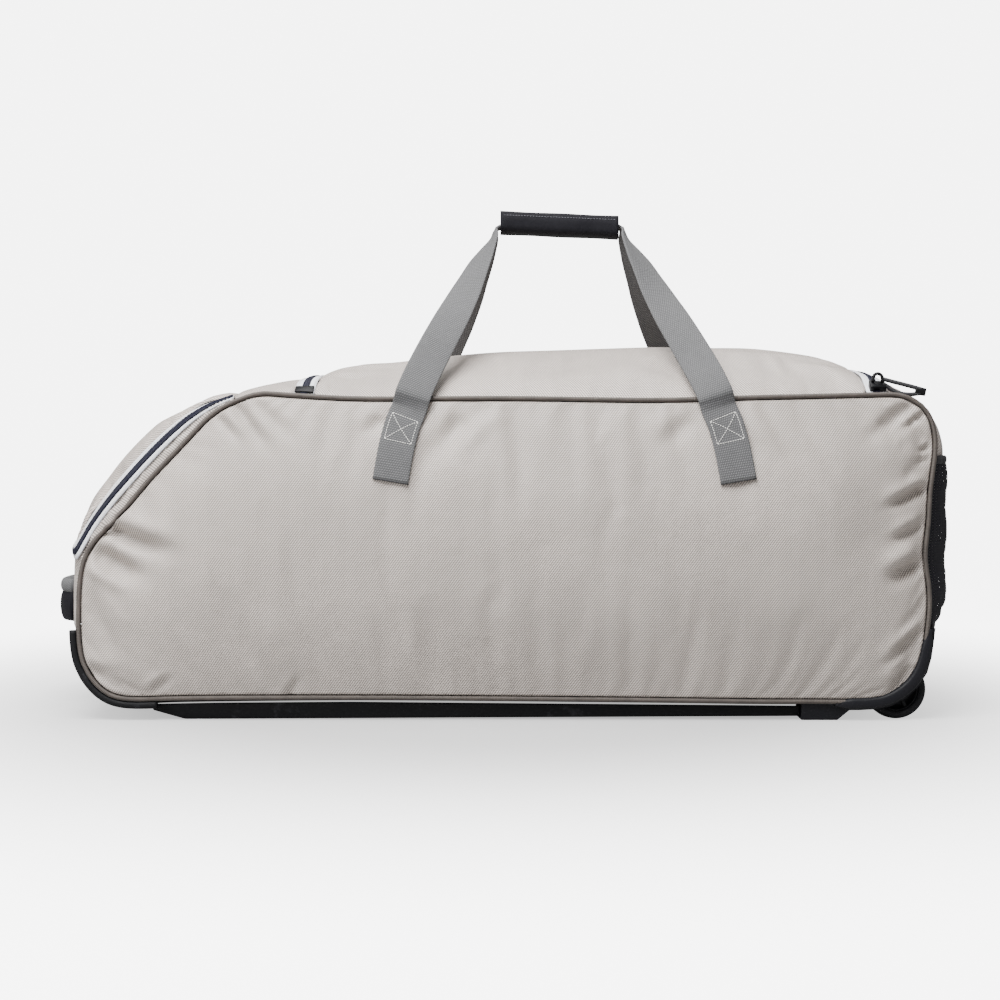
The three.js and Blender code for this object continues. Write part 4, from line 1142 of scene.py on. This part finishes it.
# End grab handle: webbing bowed off the nose, with a black padded sleeve round its middle. The
# sleeve sits low, so that a roll of the webbing shows above it.
rows = rings_of("end_handle", (-0.447, -0.58, 0.118))
rows = glide(rows, 4)
path, across, face = rows[:, :3], unit(rows[:, 3:6]), unit(rows[:, 6:9])
put(
    "grab_strap",
    carry(path, across, face, strap_section, np.linalg.norm(rows[:, 3:6], axis=1), 0.0021),
    grey_webbing,
    replaces=["end_handle"],
)
low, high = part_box("end_grip")
held = np.abs(path[:, 1]) < high.y
wide = high.z - low.z
lowered = path[held] - (0, 0, wide * 0.14)
sleeve = put(
    "grab_sleeve",
    carry(lowered, across[held], face[held], round_section(20), wide * 0.74, 0.0108),
    charcoal,
    replaces=["end_grip"],
)
rolled = path[held] + (0, 0, wide * 0.33)
put(
    "grab_strap_roll",
    carry(rolled, across[held], face[held], round_section(14), wide * 0.34, 0.0098),
    grey_webbing,
)

# Lid zip hardware: a moulded end tab at the left, and at the right a slider with a bridge on its
# back and a looped cord pull, whose two ends share one moulded tip.
moulded_black = scuffed("moulded_black_acetal", "0E0E10", 0.35, 0.0009)
eased("zip_stop_tab", "zip_end_tab", moulded_black, 0.0008)
eased("slider_body", "zip_slider", moulded_black, 0.0012)
pull_cord = corded("braided_black_cord", "17171B", 0.0014, 0.6)
low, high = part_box("zip_puller")
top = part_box("zip_slider")[1]
level = (low.y + high.y) / 2
span, drop = high.x - low.x, high.z - low.z
for name, spots in (
    (
        "pull_cord_upper",
        (
            (top.x - 0.004, top.z + 0.001),
            (low.x + span * 0.2, low.z + drop * 0.84),
            (low.x + span * 0.6, low.z + drop * 0.62),
            (high.x - 0.003, low.z + drop * 0.42),
        ),
    ),
    (
        "pull_cord_lower",
        (
            (top.x - 0.003, top.z - 0.004),
            (low.x + span * 0.25, low.z + 0.0052),
            (low.x + span * 0.6, low.z + 0.0026),
            (high.x - 0.003, low.z + drop * 0.22),
        ),
    ),
):
    line = glide([(x, level, z) for x, z in spots], 8)
    run = crossways(line)
    side = np.tile((0, 1, 0), (len(line), 1))
    put(
        name,
        carry(line, side, np.cross(run, side), round_section(10), 0.0047, 0.0047),
        pull_cord,
        replaces=["zip_puller"] if name.endswith("upper") else (),
    )
tip = glide(
    [
        (high.x - 0.0095, level, low.z + drop * 0.36),
        (high.x - 0.005, level, low.z + drop * 0.32),
        (high.x + 0.001, level, low.z + drop * 0.26),
    ],
    5,
)
side = np.tile((0, 1, 0), (len(tip), 1))
put(
    "pull_tip",
    carry(tip, side, np.cross(crossways(tip), side), round_section(12), 0.0056, 0.0086),
    moulded_black,
)
arch = glide(
    [
        (top.x - 0.014, level, top.z - 0.002),
        (top.x - 0.0125, level, top.z + 0.0045),
        (top.x - 0.0085, level, top.z + 0.0065),
        (top.x - 0.0045, level, top.z + 0.004),
        (top.x - 0.0035, level, top.z - 0.002),
    ],
    5,
)
side = np.tile((0, 1, 0), (len(arch), 1))
put(
    "slider_bridge",
    carry(arch, side, np.cross(crossways(arch), side), round_section(10), 0.0058, 0.0036),
    moulded_black,
)
